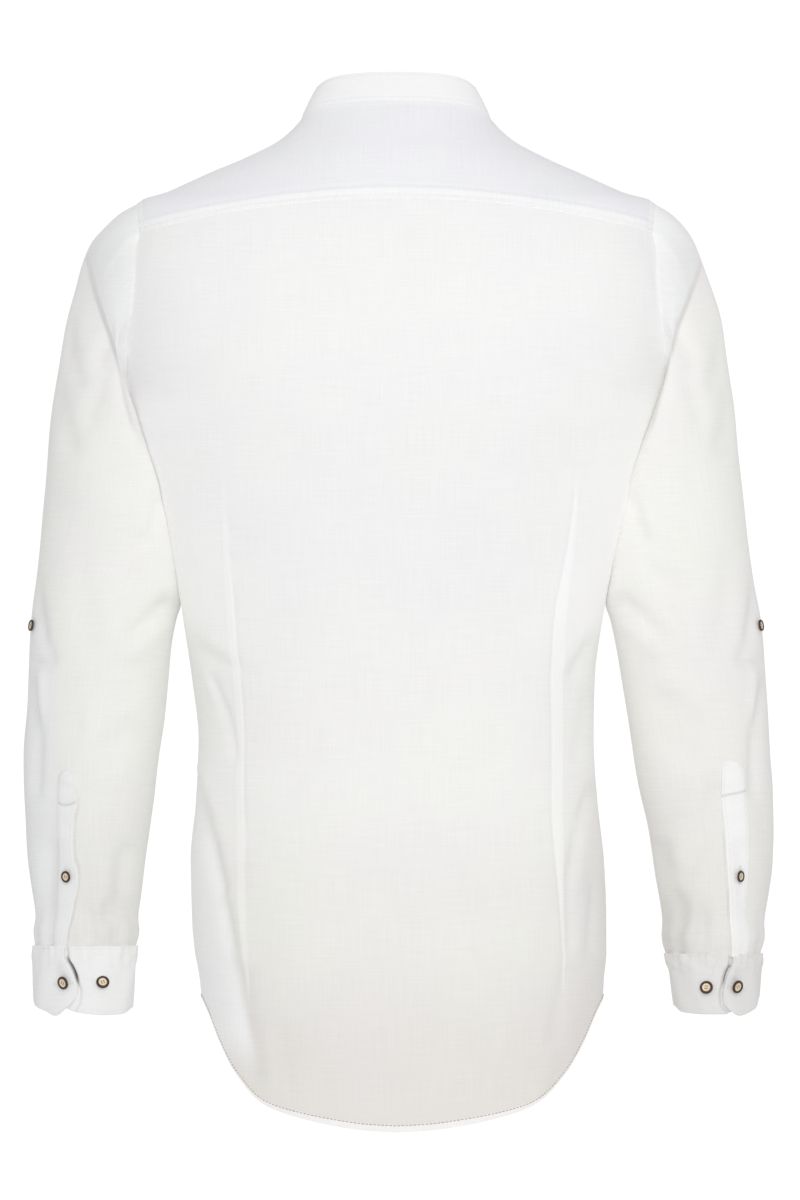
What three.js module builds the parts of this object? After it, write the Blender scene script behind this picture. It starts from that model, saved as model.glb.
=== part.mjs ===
// Long-sleeved linen shirt with a mandarin collar, filled out as if worn, seen in the photograph
// from behind. Millimetres. The front faces -Y, the back +Y, the wearer's left is +X and up is +Z.
// The origin is the middle of the neck, level with the shoulder neck points.
import * as THREE from 'three';

const WALL = 1.6;          // cloth of one layer
const STIFF_WALL = 2;      // collar and cuffs, two layers with a stiffener
const HEM_WALL = 2.4;      // turned hem
const SEAM = 0.3;          // clear space between two pieces at a seam
const LIFT = 0.5;          // clear space under a piece that lies on another
const BAND_WALL = 1.3;     // placket bands
const UNDERARM_Z = -250;
const HEM_SIDE_Z = -683;   // hem at the side seams
const BAND_HALF = 16;      // half the width of the front placket
const UNDERLAP = 2.9;      // how far the right front lies below the left one

// Body form, a section per row: half widths to the wearer's left and right, depths to the back
// and the front, and the power of the rounded section.
const BODY = table(['z', 'left', 'right', 'back', 'front', 'power'], [
  [-800, 148, 156, 130, 134, 2.3],
  [-740, 150, 160, 129, 134, 2.3],
  [-693, 151, 161, 127, 134, 2.3],
  [-669, 153, 162, 125, 133, 2.3],
  [-646, 157, 164, 124, 133, 2.3],
  [-623, 159, 164, 122, 132, 2.3],
  [-576, 160, 162, 117, 131, 2.3],
  [-529, 156, 157, 112, 129, 2.3],
  [-482, 154, 154, 110, 128, 2.3],
  [-435, 159, 155, 111, 128, 2.3],
  [-388, 166, 161, 114, 130, 2.3],
  [-350, 169, 167, 118, 133, 2.3],
  [-326, 172, 171, 121, 135, 2.3],
  [-300, 177, 177, 124, 137, 2.3],
  [-271, 185, 185, 127, 138, 2.3],
  [-257, 193, 193, 129, 138, 2.3],
  [-243, 200, 200, 130, 138, 2.35],
  [-222, 208, 208, 131, 136, 2.4],
  [-200, 213, 213, 131, 133, 2.4],
  [-178, 216, 216, 130, 128, 2.4],
  [-154, 217, 217, 126, 121, 2.4],
  [-131, 216, 216, 121, 112, 2.4],
  [-108, 214, 214, 114, 100, 2.4],
  [-86, 211, 211, 106, 82, 2.3],
  [-69, 206, 206, 99, 66, 2.2],
  [-61, 198, 198, 95, 59, 2.15],
  [-53, 179, 179, 91, 53, 2.1],
  [-45, 161, 161, 87, 48, 2.05],
  [-37, 143, 143, 83, 43, 2],
  [-30, 126, 126, 79, 38, 2],
  [-22, 109, 109, 74, 33, 2],
  [-14, 94, 94, 68, 27, 2],
  [-6, 83, 83, 62, 22, 2],
  [3, 74, 74, 55, 17, 2],
  [16, 69, 69, 44, 10, 2],
  [26, 64, 64, 38, 6, 2],
]);

// Drop of the shirt tail below the side seams, by distance from the centre as a share of half width.
const TAIL = table(['share', 'drop'], [
  [0, 105], [0.27, 103.5], [0.34, 100], [0.45, 95], [0.62, 88],
  [0.7, 80], [0.83, 56], [0.91, 33], [0.97, 10], [1, 0],
]);
const FRONT_TAIL = 0.84;   // the front tail is shorter by this factor

// Armhole, distance from the centre line by height, on the back and on the front.
const ARMHOLE = table(['z', 'back', 'front'], [
  [-250, 197, 197], [-243, 199.5, 199], [-232, 203, 201], [-215, 206.5, 202], [-195, 209, 201],
  [-172, 209, 197.5], [-148, 205.5, 194], [-122, 203, 192.5], [-98, 202, 194], [-86, 199.5, 196],
  [-75, 200, 198.5],
]);
const SHOULDER_X = 202.5;  // armhole at the top of the shoulder

// Heights of the rows at the side edge of a panel: side seam, then the armhole of each panel.
const SIDE_ROWS = [
  HEM_SIDE_Z, -676, -645, -612, -580, -545, -510, -475, -440, -405, -372, -340, -312, -288, -268, UNDERARM_Z,
];
const BACK_ARM_ROWS = [-243, -232, -215, -195, -172, -148, -124, -104, -86];
const FRONT_ARM_ROWS = [-243, -232, -215, -195, -172, -148, -122, -98, -75];

// Columns of the back and the yoke from the centre to the side: share of the turn round the body,
// distance along the yoke seam, then where the column ends at the top of the yoke: the first seven
// on the neck, at an angle, and the rest on the front yoke seam, at a distance.
const BACK_COLUMNS = table(['turn', 'seam', 'neck', 'shoulder'], [
  [0, 0, 0, 0], [0.1, 21, 19.6, 0], [0.2, 42, 39.2, 0], [0.3, 63, 58.8, 0], [0.4, 83, 78.4, 0],
  [0.475, 98, 98, 0], [0.531, 110, 117.6, 0], [0.587, 122, 0, 85], [0.67, 139, 0, 108],
  [0.76, 157, 0, 132], [0.85, 175, 0, 157], [0.93, 189, 0, 180], [1, 199.5, 0, 198.5],
]);
const NECK_COLUMNS = 7;
// Rows of the yoke, 1 at the back seam to 0 at the front.
const YOKE_DEPTHS = [1, 0.84, 0.64, 0.44, 0.3, 0.16, 0];

// Columns of a front from the side to the placket: share of the way, then the end of the column on
// the front yoke seam as a distance or on the neck as an angle.
const FRONT_COLUMNS = table(['share', 'shoulder', 'neck'], [
  [0, 198.5, 0], [0.11, 180, 0], [0.22, 157, 0], [0.34, 132, 0], [0.46, 108, 0], [0.58, 85, 0],
  [0.69, 0, 117.6], [0.79, 0, 134], [0.9, 0, 150],
]);

const NECK = { half: 73, back: 44, front: 54, lean: 0.5, rise: 0.8 };
const COLLAR = { height: 26, lean: 27, corner: 13, end: BAND_HALF };
const FRONT_SEAM_Y = -25;  // front yoke seam, forward of the shoulder line

// Long folds of the cloth, as seen from the back: two ends, half width and depth (minus is a trough).
const BODY_FOLDS = table(['x0', 'z0', 'x1', 'z1', 'wide', 'deep'], [
  [160, -411, 116, -427, 9, -3.5], [150, -438, 126, -500, 8, -2.5], [155, -512, 134, -588, 9, -4.5],
  [134, -588, 124, -622, 8, -3], [-156, -396, -129, -440, 9, -3.5], [-155, -512, -137, -582, 9, -4.5],
  [-137, -582, -132, -618, 8, -2.5], [-156, -580, -147, -655, 7, -3], [117, -715, 103, -755, 9, -3],
  [138, -540, 118, -600, 12, 2.5], [-140, -540, -122, -600, 12, 2.5],
]);
const DARTS = table(['z', 'left', 'right'], [
  [-660, 118.5, 131], [-577, 120, 127], [-498, 122.5, 124], [-427, 123.5, 123], [-388, 126, 128],
  [-326, 132, 134], [-284, 139, 140],
]);
const DART_DEPTH = 1.6;

// Sleeve, a ring per row after the armhole: the outer and the inner point of the ring for the left
// and the right arm, their heights, the middle and half of the depth.
const SLEEVE = table(['outerL', 'outerR', 'zOuter', 'innerL', 'innerR', 'zInner', 'middle', 'half'], [
  [215, 214, -71, 198.5, 198.5, -254, -4, 56],
  [227, 225, -82, 198, 198, -259, -4, 58],
  [237, 233, -94, 196.5, 196.5, -265, -5, 60],
  [243, 239, -108, 194, 194, -273, -5, 61],
  [250, 247, -131, 191, 191, -283, -6, 62],
  [257, 253.5, -155, 187.5, 187.5, -295, -7, 63],
  [262, 258, -184, 184.5, 184.5, -308, -8, 63],
  [268, 263, -222, 181, 181, -325, -9, 62],
  [272, 267, -262, 178, 178, -345, -9, 61],
  [276, 272, -305, 176, 175, -366, -10, 59],
  [280.5, 278, -350, 173, 169, -388, -10, 58],
  [285, 285, -392, 175, 171.5, -410, -10, 57],
  [287, 287, -425, 177, 175.5, -435, -11, 56],
  [288.5, 290, -459, 180, 180, -462, -11, 55],
  [290, 293, -490, 184, 184.5, -490, -12, 54],
  [289.5, 295.5, -520, 187.5, 190, -520, -13, 52],
  [288, 295.5, -548, 192, 195.5, -548, -14, 50],
  [287, 294, -576, 196, 200, -576, -15, 47],
  [284.7, 290, -600, 199, 204, -600, -16, 44],
  [281.6, 285.5, -621, 202, 208, -621, -17, 41],
  [281.5, 284.5, -632, 202.5, 209.5, -632, -17, 39],
  [282.5, 285, -640, 202.5, 210.5, -640, -17, 38],
]);
const HOLD = [1, 0.9, 0.75, 0.58, 0.4, 0.25, 0.1];  // how much of the armhole's shape a ring keeps

// Fold of the sleeve head, where the outer sleeve drops back: its line and the drop, by height.
const HEAD_FOLD = table(['z', 'x', 'drop'], [
  [-330, 176, 0], [-300, 181, 3], [-271, 189, 7], [-243, 203, 11], [-222, 208, 13], [-205, 211, 14],
  [-190, 213, 14], [-174, 218, 14], [-154, 226, 13], [-134, 233, 10], [-112, 239, 6], [-97, 242, 0],
]);
const SLEEVE_FOLDS = table(['x0', 'z0', 'x1', 'z1', 'wide', 'deep'], [
  [172, -372, 212, -410, 10, -5], [186, -392, 214, -424, 10, 3], [284, -416, 250, -424, 8, -3.5],
  [288, -440, 276, -520, 8, -3], [200, -470, 236, -500, 12, -2.5],
]);

const CUFF = { top: -640.4, bottom: -692, gap: 0.6, flare: 1.5, rows: 3 };
// Where the band ends on top of itself and how far the lower end runs on below it, as angles from
// the outer side of the wrist to the back, and the buttons of each sleeve.
const CUFF_SIDES = {
  left: { end: 84, overlap: 62, buttons: [64, 112], band: [52, 64.5, 77] },
  right: { end: 93, overlap: 62, buttons: [72, 105], band: [56, 69, 82] },
};
const GAUNTLET = { top: -505, shoulder: -514, bottom: -639.6, button: -588 };
const ROLL_BUTTON = { z: -391, ring: 12 };  // on the outermost column of this ring of the sleeve

const BUTTON = { radius: 5.2, thick: 2.2, rim: 0.9, dish: 0.5, sides: 16 };
const FRONT_BUTTONS = [-118, -205, -292, -379, -466, -553, -640];

const LINEN = new THREE.MeshStandardMaterial({ name: 'linen', color: 0xf2f2f0, roughness: 0.9 });
const HORN = new THREE.MeshStandardMaterial({ name: 'horn', color: 0xc9b08a, roughness: 0.45 });

function table(keys, rows) {
  return rows.map(row => Object.fromEntries(keys.map((key, i) => [key, row[i]])));
}

// Smooth curve through two columns of a table that never overshoots them.
function curve(rows, at, key) {
  const xs = rows.map(row => row[at]);
  const ys = rows.map(row => row[key]);
  const last = xs.length - 1;
  const steps = xs.slice(1).map((x, i) => (ys[i + 1] - ys[i]) / (x - xs[i]));
  const slopes = xs.map((x, i) => {
    if (i === 0) return steps[0];
    if (i === last) return steps[last - 1];
    const product = steps[i - 1] * steps[i];
    return product <= 0 ? 0 : 2 * product / (steps[i - 1] + steps[i]);
  });
  return x => {
    if (x <= xs[0]) return ys[0];
    if (x >= xs[last]) return ys[last];
    let i = 0;
    while (x > xs[i + 1]) i += 1;
    const width = xs[i + 1] - xs[i];
    const t = (x - xs[i]) / width;
    const t2 = t * t;
    const t3 = t2 * t;
    return ys[i] * (2 * t3 - 3 * t2 + 1) + ys[i + 1] * (3 * t2 - 2 * t3)
      + width * (slopes[i] * (t3 - 2 * t2 + t) + slopes[i + 1] * (t3 - t2));
  };
}

const half = { 1: curve(BODY, 'z', 'left'), [-1]: curve(BODY, 'z', 'right') };
const depth = { 1: curve(BODY, 'z', 'back'), [-1]: curve(BODY, 'z', 'front') };
const power = curve(BODY, 'z', 'power');
const tailDrop = curve(TAIL, 'share', 'drop');
const armhole = { 1: curve(ARMHOLE, 'z', 'back'), [-1]: curve(ARMHOLE, 'z', 'front') };
const dart = { 1: curve(DARTS, 'z', 'left'), [-1]: curve(DARTS, 'z', 'right') };
const headLine = curve(HEAD_FOLD, 'z', 'x');
const headDrop = curve(HEAD_FOLD, 'z', 'drop');

const mix = (a, b, t) => a + (b - a) * t;
const vec = (x, y, z) => new THREE.Vector3(x, y, z);
const radians = degrees => degrees * Math.PI / 180;
const raise = (value, exponent) => Math.sign(value) * Math.abs(value) ** exponent;

function ease(t) {
  const s = Math.min(1, Math.max(0, t));
  return s * s * (3 - 2 * s);
}

// How far out a point is: 1 on the body form, less inside it.
function reach(x, y, z) {
  const n = power(z);
  const side = x < 0 ? -1 : 1;
  const face = y < 0 ? -1 : 1;
  return (Math.abs(x) / half[side](z)) ** n + (Math.abs(y) / depth[face](z)) ** n;
}

function formNormal(p) {
  const step = 0.5;
  return vec(
    reach(p.x + step, p.y, p.z) - reach(p.x - step, p.y, p.z),
    reach(p.x, p.y + step, p.z) - reach(p.x, p.y - step, p.z),
    reach(p.x, p.y, p.z + step) - reach(p.x, p.y, p.z - step),
  ).normalize();
}

// Point of the body form: side 1 or -1, turn 0 at the centre to a quarter at the side, face 1 back.
function onForm(side, turn, z, face) {
  const k = 2 / power(z);
  const x = side * half[side](z) * Math.sin(turn) ** k;
  return vec(x, face * depth[face](z) * Math.max(0, Math.cos(turn)) ** k, z);
}

function turnOf(x, z) {
  const side = x < 0 ? -1 : 1;
  return Math.asin(Math.min(1, Math.abs(x) / half[side](z)) ** (power(z) / 2));
}

// Point of the shoulders above a place in plan.
function fromAbove(x, y) {
  let low = -140;
  let high = 26;
  for (let i = 0; i < 40; i += 1) {
    const z = (low + high) / 2;
    if (reach(x, y, z) > 1) high = z;
    else low = z;
  }
  return vec(x, y, (low + high) / 2);
}

function neckPoint(degrees) {
  const a = radians(degrees);
  const cos = Math.cos(a);
  return fromAbove(NECK.half * Math.sin(a), cos * (cos > 0 ? NECK.back : NECK.front));
}

function neckNormal(p) {
  return vec(p.x / NECK.half, p.y / NECK.back, 0).normalize().add(vec(0, 0, NECK.lean)).normalize();
}

// The cloth of two pieces at the armhole is cut square to it, from its edge towards its middle.
function armholeNormal(p) {
  return vec(0, p.y, (p.z + 157) * 0.55).normalize();
}

function foldDepth(folds, x, z) {
  return folds.reduce((sum, fold) => {
    const along = vec(fold.x1 - fold.x0, 0, fold.z1 - fold.z0);
    const length = along.length();
    along.divideScalar(length);
    const from = vec(x - fold.x0, 0, z - fold.z0);
    const travel = from.dot(along);
    const off = Math.hypot(from.x - along.x * travel, from.z - along.z * travel);
    const ends = ease((travel + 6) / 18) * ease((length + 6 - travel) / 18);
    return sum + fold.deep * ends * Math.exp(-((off / fold.wide) ** 2));
  }, 0);
}

function bodyFold(p) {
  if (p.y < 0) return 0.6 * foldDepth(BODY_FOLDS, -p.x, p.z);
  const side = p.x < 0 ? -1 : 1;
  const off = Math.abs(p.x) - dart[side](p.z);
  const ends = ease((p.z + 680) / 40) * ease((-262 - p.z) / 40);
  return foldDepth(BODY_FOLDS, p.x, p.z) - DART_DEPTH * ends * Math.exp(-((off / 6) ** 2));
}

// Closed shell between two grids of points; a tube joins its last column to its first.
function shell(outer, inner, tube = false) {
  const rows = outer.length;
  const columns = outer[0].length;
  const points = [...outer.flat(), ...inner.flat()];
  const index = [];
  const at = (layer, row, column) => layer * rows * columns + row * columns + (column % columns);
  const quad = (a, b, c, d) => index.push(a, b, c, a, c, d);
  const across = tube ? columns : columns - 1;
  for (let r = 0; r < rows - 1; r += 1) {
    for (let c = 0; c < across; c += 1) {
      quad(at(0, r, c), at(0, r, c + 1), at(0, r + 1, c + 1), at(0, r + 1, c));
      quad(at(1, r, c), at(1, r + 1, c), at(1, r + 1, c + 1), at(1, r, c + 1));
    }
  }
  for (let c = 0; c < across; c += 1) {
    quad(at(0, 0, c), at(1, 0, c), at(1, 0, c + 1), at(0, 0, c + 1));
    quad(at(0, rows - 1, c), at(0, rows - 1, c + 1), at(1, rows - 1, c + 1), at(1, rows - 1, c));
  }
  if (!tube) {
    const end = columns - 1;
    for (let r = 0; r < rows - 1; r += 1) {
      quad(at(0, r, 0), at(0, r + 1, 0), at(1, r + 1, 0), at(1, r, 0));
      quad(at(0, r, end), at(1, r, end), at(1, r + 1, end), at(0, r + 1, end));
    }
  }
  return solid(points, index);
}

function solid(points, index) {
  let volume = 0;
  for (let i = 0; i < index.length; i += 3) {
    const [a, b, c] = [points[index[i]], points[index[i + 1]], points[index[i + 2]]];
    volume += a.dot(b.clone().cross(c));
  }
  const numbers = points.flatMap(p => [p.x, p.y, p.z]);
  const geometry = new THREE.BufferGeometry();
  geometry.setAttribute('position', new THREE.Float32BufferAttribute(numbers, 3));
  geometry.setIndex(volume < 0 ? index.slice().reverse() : index);
  return geometry;
}

// A grid of { p, n } (outer point and wall direction) made into the two skins of a wall.
function walled(grid, wall) {
  const outer = grid.map(row => row.map(({ p }) => p));
  const inner = grid.map((row, r) => row.map(({ p, n }) => p.clone().addScaledVector(n, -wall(r))));
  return [outer, inner];
}

// Moves the points of one row half a seam towards the row beside it.
function trimRow(grid, row, beside) {
  grid[row].forEach((cell, c) => {
    const way = grid[beside][c].p.clone().sub(cell.p).normalize();
    cell.p = cell.p.clone().addScaledVector(way, SEAM / 2);
  });
}

// A grid cell on the form, and one with the folds of the cloth.
const flatCell = (p, normal) => ({ p, n: normal ?? formNormal(p) });

function cellAt(p) {
  const n = formNormal(p);
  return { p: p.clone().addScaledVector(n, bodyFold(p)), n };
}

function hemHeight(side, turn, face) {
  const share = Math.sin(turn) ** (2 / 2.3);
  return HEM_SIDE_Z - tailDrop(share) * (face > 0 ? 1 : FRONT_TAIL);
}

function yokeSeam(x) {
  const z = -60 - 26 * (Math.abs(x) / 199.5) ** 2;
  return onForm(x < 0 ? -1 : 1, turnOf(x, z), z, 1);
}

// Turn of the side edge of a panel: a quarter at the side seam, the armhole above it.
function edgeTurn(side, z, face) {
  return z <= UNDERARM_Z + 0.01 ? Math.PI / 2 : turnOf(side * armhole[face](z), z);
}

function backPanel() {
  const rows = [...SIDE_ROWS, ...BACK_ARM_ROWS];
  const top = rows[rows.length - 1];
  const signed = [];
  for (let j = BACK_COLUMNS.length - 1; j > 0; j -= 1) signed.push([-1, BACK_COLUMNS[j]]);
  BACK_COLUMNS.forEach(column => signed.push([1, column]));
  const grid = rows.map((edgeZ, r) => signed.map(([side, column]) => {
    const rise = (edgeZ - HEM_SIDE_Z) / (top - HEM_SIDE_Z);
    const seam = yokeSeam(side * column.seam);
    const low = hemHeight(side, column.turn * Math.PI / 2, 1);
    const z = mix(low, seam.z, rise);
    const limit = edgeTurn(side, edgeZ, 1);
    const pull = ease((edgeZ + 268) / (top + 268));
    const topShift = turnOf(seam.x, seam.z) - column.turn * edgeTurn(side, top, 1);
    const turn = column.turn * limit + pull * topShift;
    const p = onForm(side, Math.min(turn, Math.PI / 2), z, 1);
    const onEdge = column.turn === 1;
    if (onEdge && edgeZ <= UNDERARM_Z) p.y = SEAM / 2;
    const atArmhole = onEdge && edgeZ >= UNDERARM_Z;
    return atArmhole ? flatCell(p, armholeNormal(p)) : cellAt(p);
  }));
  trimRow(grid, rows.length - 1, rows.length - 2);
  return walled(grid, r => (r < 2 ? HEM_WALL : WALL));
}

// Top edge of a front, from the armhole along the yoke seam and down the neck.
function frontTop(side, column) {
  if (column.neck) return neckPoint(side * column.neck);
  const y = FRONT_SEAM_Y - 2 * (column.shoulder - 65) / 134;
  return fromAbove(side * column.shoulder, column.shoulder === 198.5 ? frontCorner(side).y : y);
}

function frontCorner(side) {
  const z = FRONT_ARM_ROWS[FRONT_ARM_ROWS.length - 1];
  return onForm(side, edgeTurn(side, z, -1), z, -1);
}

// Point of the front neck edge at a distance from the centre line.
function neckEdge(x) {
  const off = Math.asin(Math.abs(x) / NECK.half) * 180 / Math.PI;
  return neckPoint((x < 0 ? -1 : 1) * (180 - off));
}

// A front panel on one side; the right one dips below the left at the placket.
function frontGrid(side) {
  const rows = [...SIDE_ROWS, ...FRONT_ARM_ROWS];
  const top = rows[rows.length - 1];
  const under = side < 0 ? UNDERLAP : 0;
  const plackets = [side * BAND_HALF, 0, -side * BAND_HALF];
  const grid = rows.map(edgeZ => {
    const rise = (edgeZ - HEM_SIDE_Z) / (top - HEM_SIDE_Z);
    const limit = edgeTurn(side, edgeZ, -1);
    const pull = ease((edgeZ + 268) / (top + 268));
    const panel = FRONT_COLUMNS.map(column => {
      const end = frontTop(side, column);
      const inner = neckEdge(side * BAND_HALF);
      const fromHem = hemHeight(side, (1 - column.share) * Math.PI / 2, -1);
      const z = mix(fromHem, end.z, rise);
      const innerTurn = turnOf(side * BAND_HALF, mix(fromHem, inner.z, rise));
      const straight = mix(limit, innerTurn, column.share);
      const topStraight = mix(edgeTurn(side, top, -1), turnOf(inner.x, inner.z), column.share);
      const turn = straight + pull * (turnOf(end.x, end.z) - topStraight);
      const p = rise === 1 ? end : onForm(side, Math.min(turn, Math.PI / 2), z, -1);
      const onEdge = column.share === 0;
      if (onEdge && edgeZ <= UNDERARM_Z) p.y = -SEAM / 2;
      if (onEdge && edgeZ >= UNDERARM_Z) return flatCell(p, armholeNormal(p));
      if (rise === 1 && column.neck) return flatCell(p, neckNormal(p));
      return rise === 1 ? flatCell(p) : cellAt(p);
    });
    const strip = plackets.map(x => {
      const end = neckEdge(x);
      const z = mix(HEM_SIDE_Z - tailDrop(Math.abs(x) / 152) * FRONT_TAIL, end.z, rise);
      const p = rise === 1 ? end : onForm(x < 0 ? -1 : 1, turnOf(x, z), z, -1);
      const n = rise === 1 ? neckNormal(p) : formNormal(p);
      return { p: p.addScaledVector(n, -under), n };
    });
    return [...panel, ...strip];
  });
  trimRow(grid, rows.length - 1, rows.length - 2);
  return grid;
}

function frontPanel(side) {
  return walled(frontGrid(side), r => (r < 2 ? HEM_WALL : WALL));
}

function frontPlacket() {
  const strip = frontGrid(1).map(row => row.slice(-3).map(({ p, n }) => (
    { p: p.clone().addScaledVector(n, LIFT + BAND_WALL), n }
  )));
  return walled(strip, () => BAND_WALL);
}

function yokeGrid() {
  const signed = [];
  for (let j = BACK_COLUMNS.length - 1; j > 0; j -= 1) signed.push([-1, j]);
  BACK_COLUMNS.forEach((column, j) => signed.push([1, j]));
  const grid = YOKE_DEPTHS.map((share, r) => signed.map(([side, j]) => {
    const column = BACK_COLUMNS[j];
    const low = yokeSeam(side * column.seam);
    const onNeck = j < NECK_COLUMNS;
    const high = onNeck ? neckPoint(side * column.neck) : frontTop(side, column);
    if (r === 0) return j === BACK_COLUMNS.length - 1 ? flatCell(low, armholeNormal(low)) : flatCell(low);
    if (share === 0 && onNeck) return flatCell(high, neckNormal(high));
    const y = mix(high.y, low.y, share);
    const edge = [0.25, 0.6, 1][j - (BACK_COLUMNS.length - 3)] ?? 0;
    const round = y > 0 ? 1 - (y / low.y) ** 2 : 1 - (y / high.y) ** 2;
    const x = mix(high.x, low.x, share) + side * edge * round * (SHOULDER_X - 199);
    const p = share === 0 ? high : fromAbove(x, y);
    return j === BACK_COLUMNS.length - 1 ? flatCell(p, armholeNormal(p)) : flatCell(p);
  }));
  return grid;
}

function yoke() {
  const grid = yokeGrid();
  trimRow(grid, 0, 1);
  trimRow(grid, YOKE_DEPTHS.length - 1, YOKE_DEPTHS.length - 2);
  return walled(grid, () => WALL);
}

// The armhole as one loop: from the underarm up the back, over the shoulder and down the front.
function armholeLoop(side) {
  const back = [UNDERARM_Z, ...BACK_ARM_ROWS].map(z => onForm(side, edgeTurn(side, z, 1), z, 1));
  const over = yokeGrid().slice(1, -1).map(row => row[side > 0 ? row.length - 1 : 0].p);
  const front = FRONT_ARM_ROWS.slice().reverse().map(z => onForm(side, edgeTurn(side, z, -1), z, -1));
  return [...back, ...over, ...front];
}

// Angles of the sleeve's columns at the armhole and at the wrist, 0 outside, 90 at the back.
function sleeveAngles(side) {
  const loop = armholeLoop(side);
  const top = loop.map(p => {
    const a = Math.atan2(p.y / 52, (p.z + 157) / 93);
    return Math.PI - Math.abs(a) < 0.01 ? Math.PI : a;
  });
  const marks = CUFF_SIDES[side > 0 ? 'left' : 'right'].band.map(radians);
  const low = top.slice();
  const off = a => Math.abs(a - marks[1]);
  const middle = top.reduce((best, a, i) => (off(a) < off(top[best]) ? i : best), 0);
  const marked = [middle + 1, middle, middle - 1];
  marked.forEach((column, k) => { low[column] = marks[k]; });
  return { loop, top, low, marked };
}

function sleeveGrid(side) {
  const { loop, top, low } = sleeveAngles(side);
  const shift = vec(side * (SEAM + 0.05), 0, 0);
  const first = { outer: 202.5, inner: 197.2, zOuter: -64, zInner: UNDERARM_Z, middle: -4, half: 52 };
  const name = side > 0 ? 'L' : 'R';
  const rings = SLEEVE.map(row => ({ ...row, outer: row[`outer${name}`], inner: row[`inner${name}`] }));
  const round = (ring, angle) => {
    const cos = Math.cos(angle);
    const x = (ring.outer + ring.inner) / 2 + cos * (ring.outer - ring.inner) / 2;
    const z = (ring.zOuter + ring.zInner) / 2 + cos * (ring.zOuter - ring.zInner) / 2;
    return vec(side * x, ring.middle + ring.half * Math.sin(angle), z);
  };
  const places = [loop.map(p => p.clone().add(shift))];
  rings.forEach((ring, r) => {
    const keep = HOLD[r + 1] ?? 0;
    const turned = ease((r - 9) / 6);
    places.push(top.map((a, i) => {
      let gap = low[i] - a;
      if (gap > Math.PI) gap -= 2 * Math.PI;
      const angle = a + gap * turned;
      const p = round(ring, angle);
      const held = loop[i].clone().add(shift).sub(round(first, a)).multiplyScalar(keep);
      return p.add(held);
    }));
  });
  const grid = places.map((row, r) => row.map((p, i) => ({ p, n: loopNormal(places, r, i, side) })));
  return grid.map((row, r) => row.map(({ p, n }, i) => {
    if (r === 0) return { p, n: armholeNormal(p) };
    const seen = Math.max(0, n.y);
    const drop = headDrop(p.z) * ease((p.x * side - headLine(p.z)) / 16 + 0.3) * ease(seen * 1.6);
    const fold = foldDepth(SLEEVE_FOLDS, p.x * side, p.z) * ease(seen * 2) * ease((r - 2) / 3);
    const moved = p.clone().addScaledVector(n, fold * (r > rings.length - 2 ? 0 : 1));
    moved.y -= drop * ease(r / 2);
    return { p: moved, n };
  }));
}

function loopNormal(places, r, i, side) {
  const count = places[r].length;
  const around = places[r][(i + 1) % count].clone().sub(places[r][(i + count - 1) % count]);
  const up = places[Math.max(0, r - 1)][i];
  const down = places[Math.min(places.length - 1, r + 1)][i];
  return around.cross(down.clone().sub(up)).multiplyScalar(side).normalize();
}

// Point of a grid between rows at a height, along one column or part of the way to the next.
function gridPoint(grid, z, column, part = 0) {
  const next = (column + 1) % grid[0].length;
  const at = row => grid[row][column].p.clone().lerp(grid[row][next].p, part);
  let r = 0;
  while (r < grid.length - 2 && (at(r).z - z) * (at(r + 1).z - z) > 0) r += 1;
  const t = (z - at(r).z) / (at(r + 1).z - at(r).z);
  const p = at(r).lerp(at(r + 1), t);
  const n = grid[r][column].n.clone().lerp(grid[r + 1][column].n, t).normalize();
  return { p, n };
}

function gauntlet(side) {
  const grid = sleeveGrid(side);
  const { marked } = sleeveAngles(side);
  const rings = SLEEVE.map(row => row.zOuter).filter(z => z < -515);
  const levels = [GAUNTLET.top, GAUNTLET.shoulder, ...rings.slice(0, -1), GAUNTLET.bottom];
  const strip = levels.map((z, r) => {
    const edges = marked.map(column => gridPoint(grid, z, column));
    const middle = edges[1];
    return edges.map(({ p, n }, k) => {
      const narrow = r === 0 && k !== 1 ? 0.55 : 0;
      const lower = r === 0 && k !== 1 ? -3 : 0;
      const moved = p.clone().lerp(middle.p, narrow).add(vec(0, 0, lower));
      return { p: moved.addScaledVector(n, LIFT + BAND_WALL), n };
    });
  });
  return walled(strip, () => BAND_WALL);
}

// Ring of the wrist at a height, grown outward by a distance.
function wristPoint(side, angle, z, grow) {
  const last = SLEEVE[SLEEVE.length - 1];
  const name = side > 0 ? 'L' : 'R';
  const drop = (CUFF.top - z) / (CUFF.top - CUFF.bottom);
  const bottomOuter = side > 0 ? 281 : 281.5;
  const bottomInner = side > 0 ? 206.5 : 217.5;
  const outer = mix(last[`outer${name}`], bottomOuter, drop) + grow;
  const inner = mix(last[`inner${name}`], bottomInner, drop) - grow;
  const deep = mix(last.half, 36.5, drop) + grow + CUFF.flare * Math.sin(drop * Math.PI) * 0.4;
  const x = (outer + inner) / 2 + Math.cos(angle) * (outer - inner) / 2;
  return vec(side * x, last.middle + deep * Math.sin(angle), z);
}

// The band of a cuff sinks below its own outer end as it comes round.
function cuffGrow(run) {
  return 1 - (STIFF_WALL + CUFF.gap) * ease((run - 2 * Math.PI + radians(14)) / radians(14));
}

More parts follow.
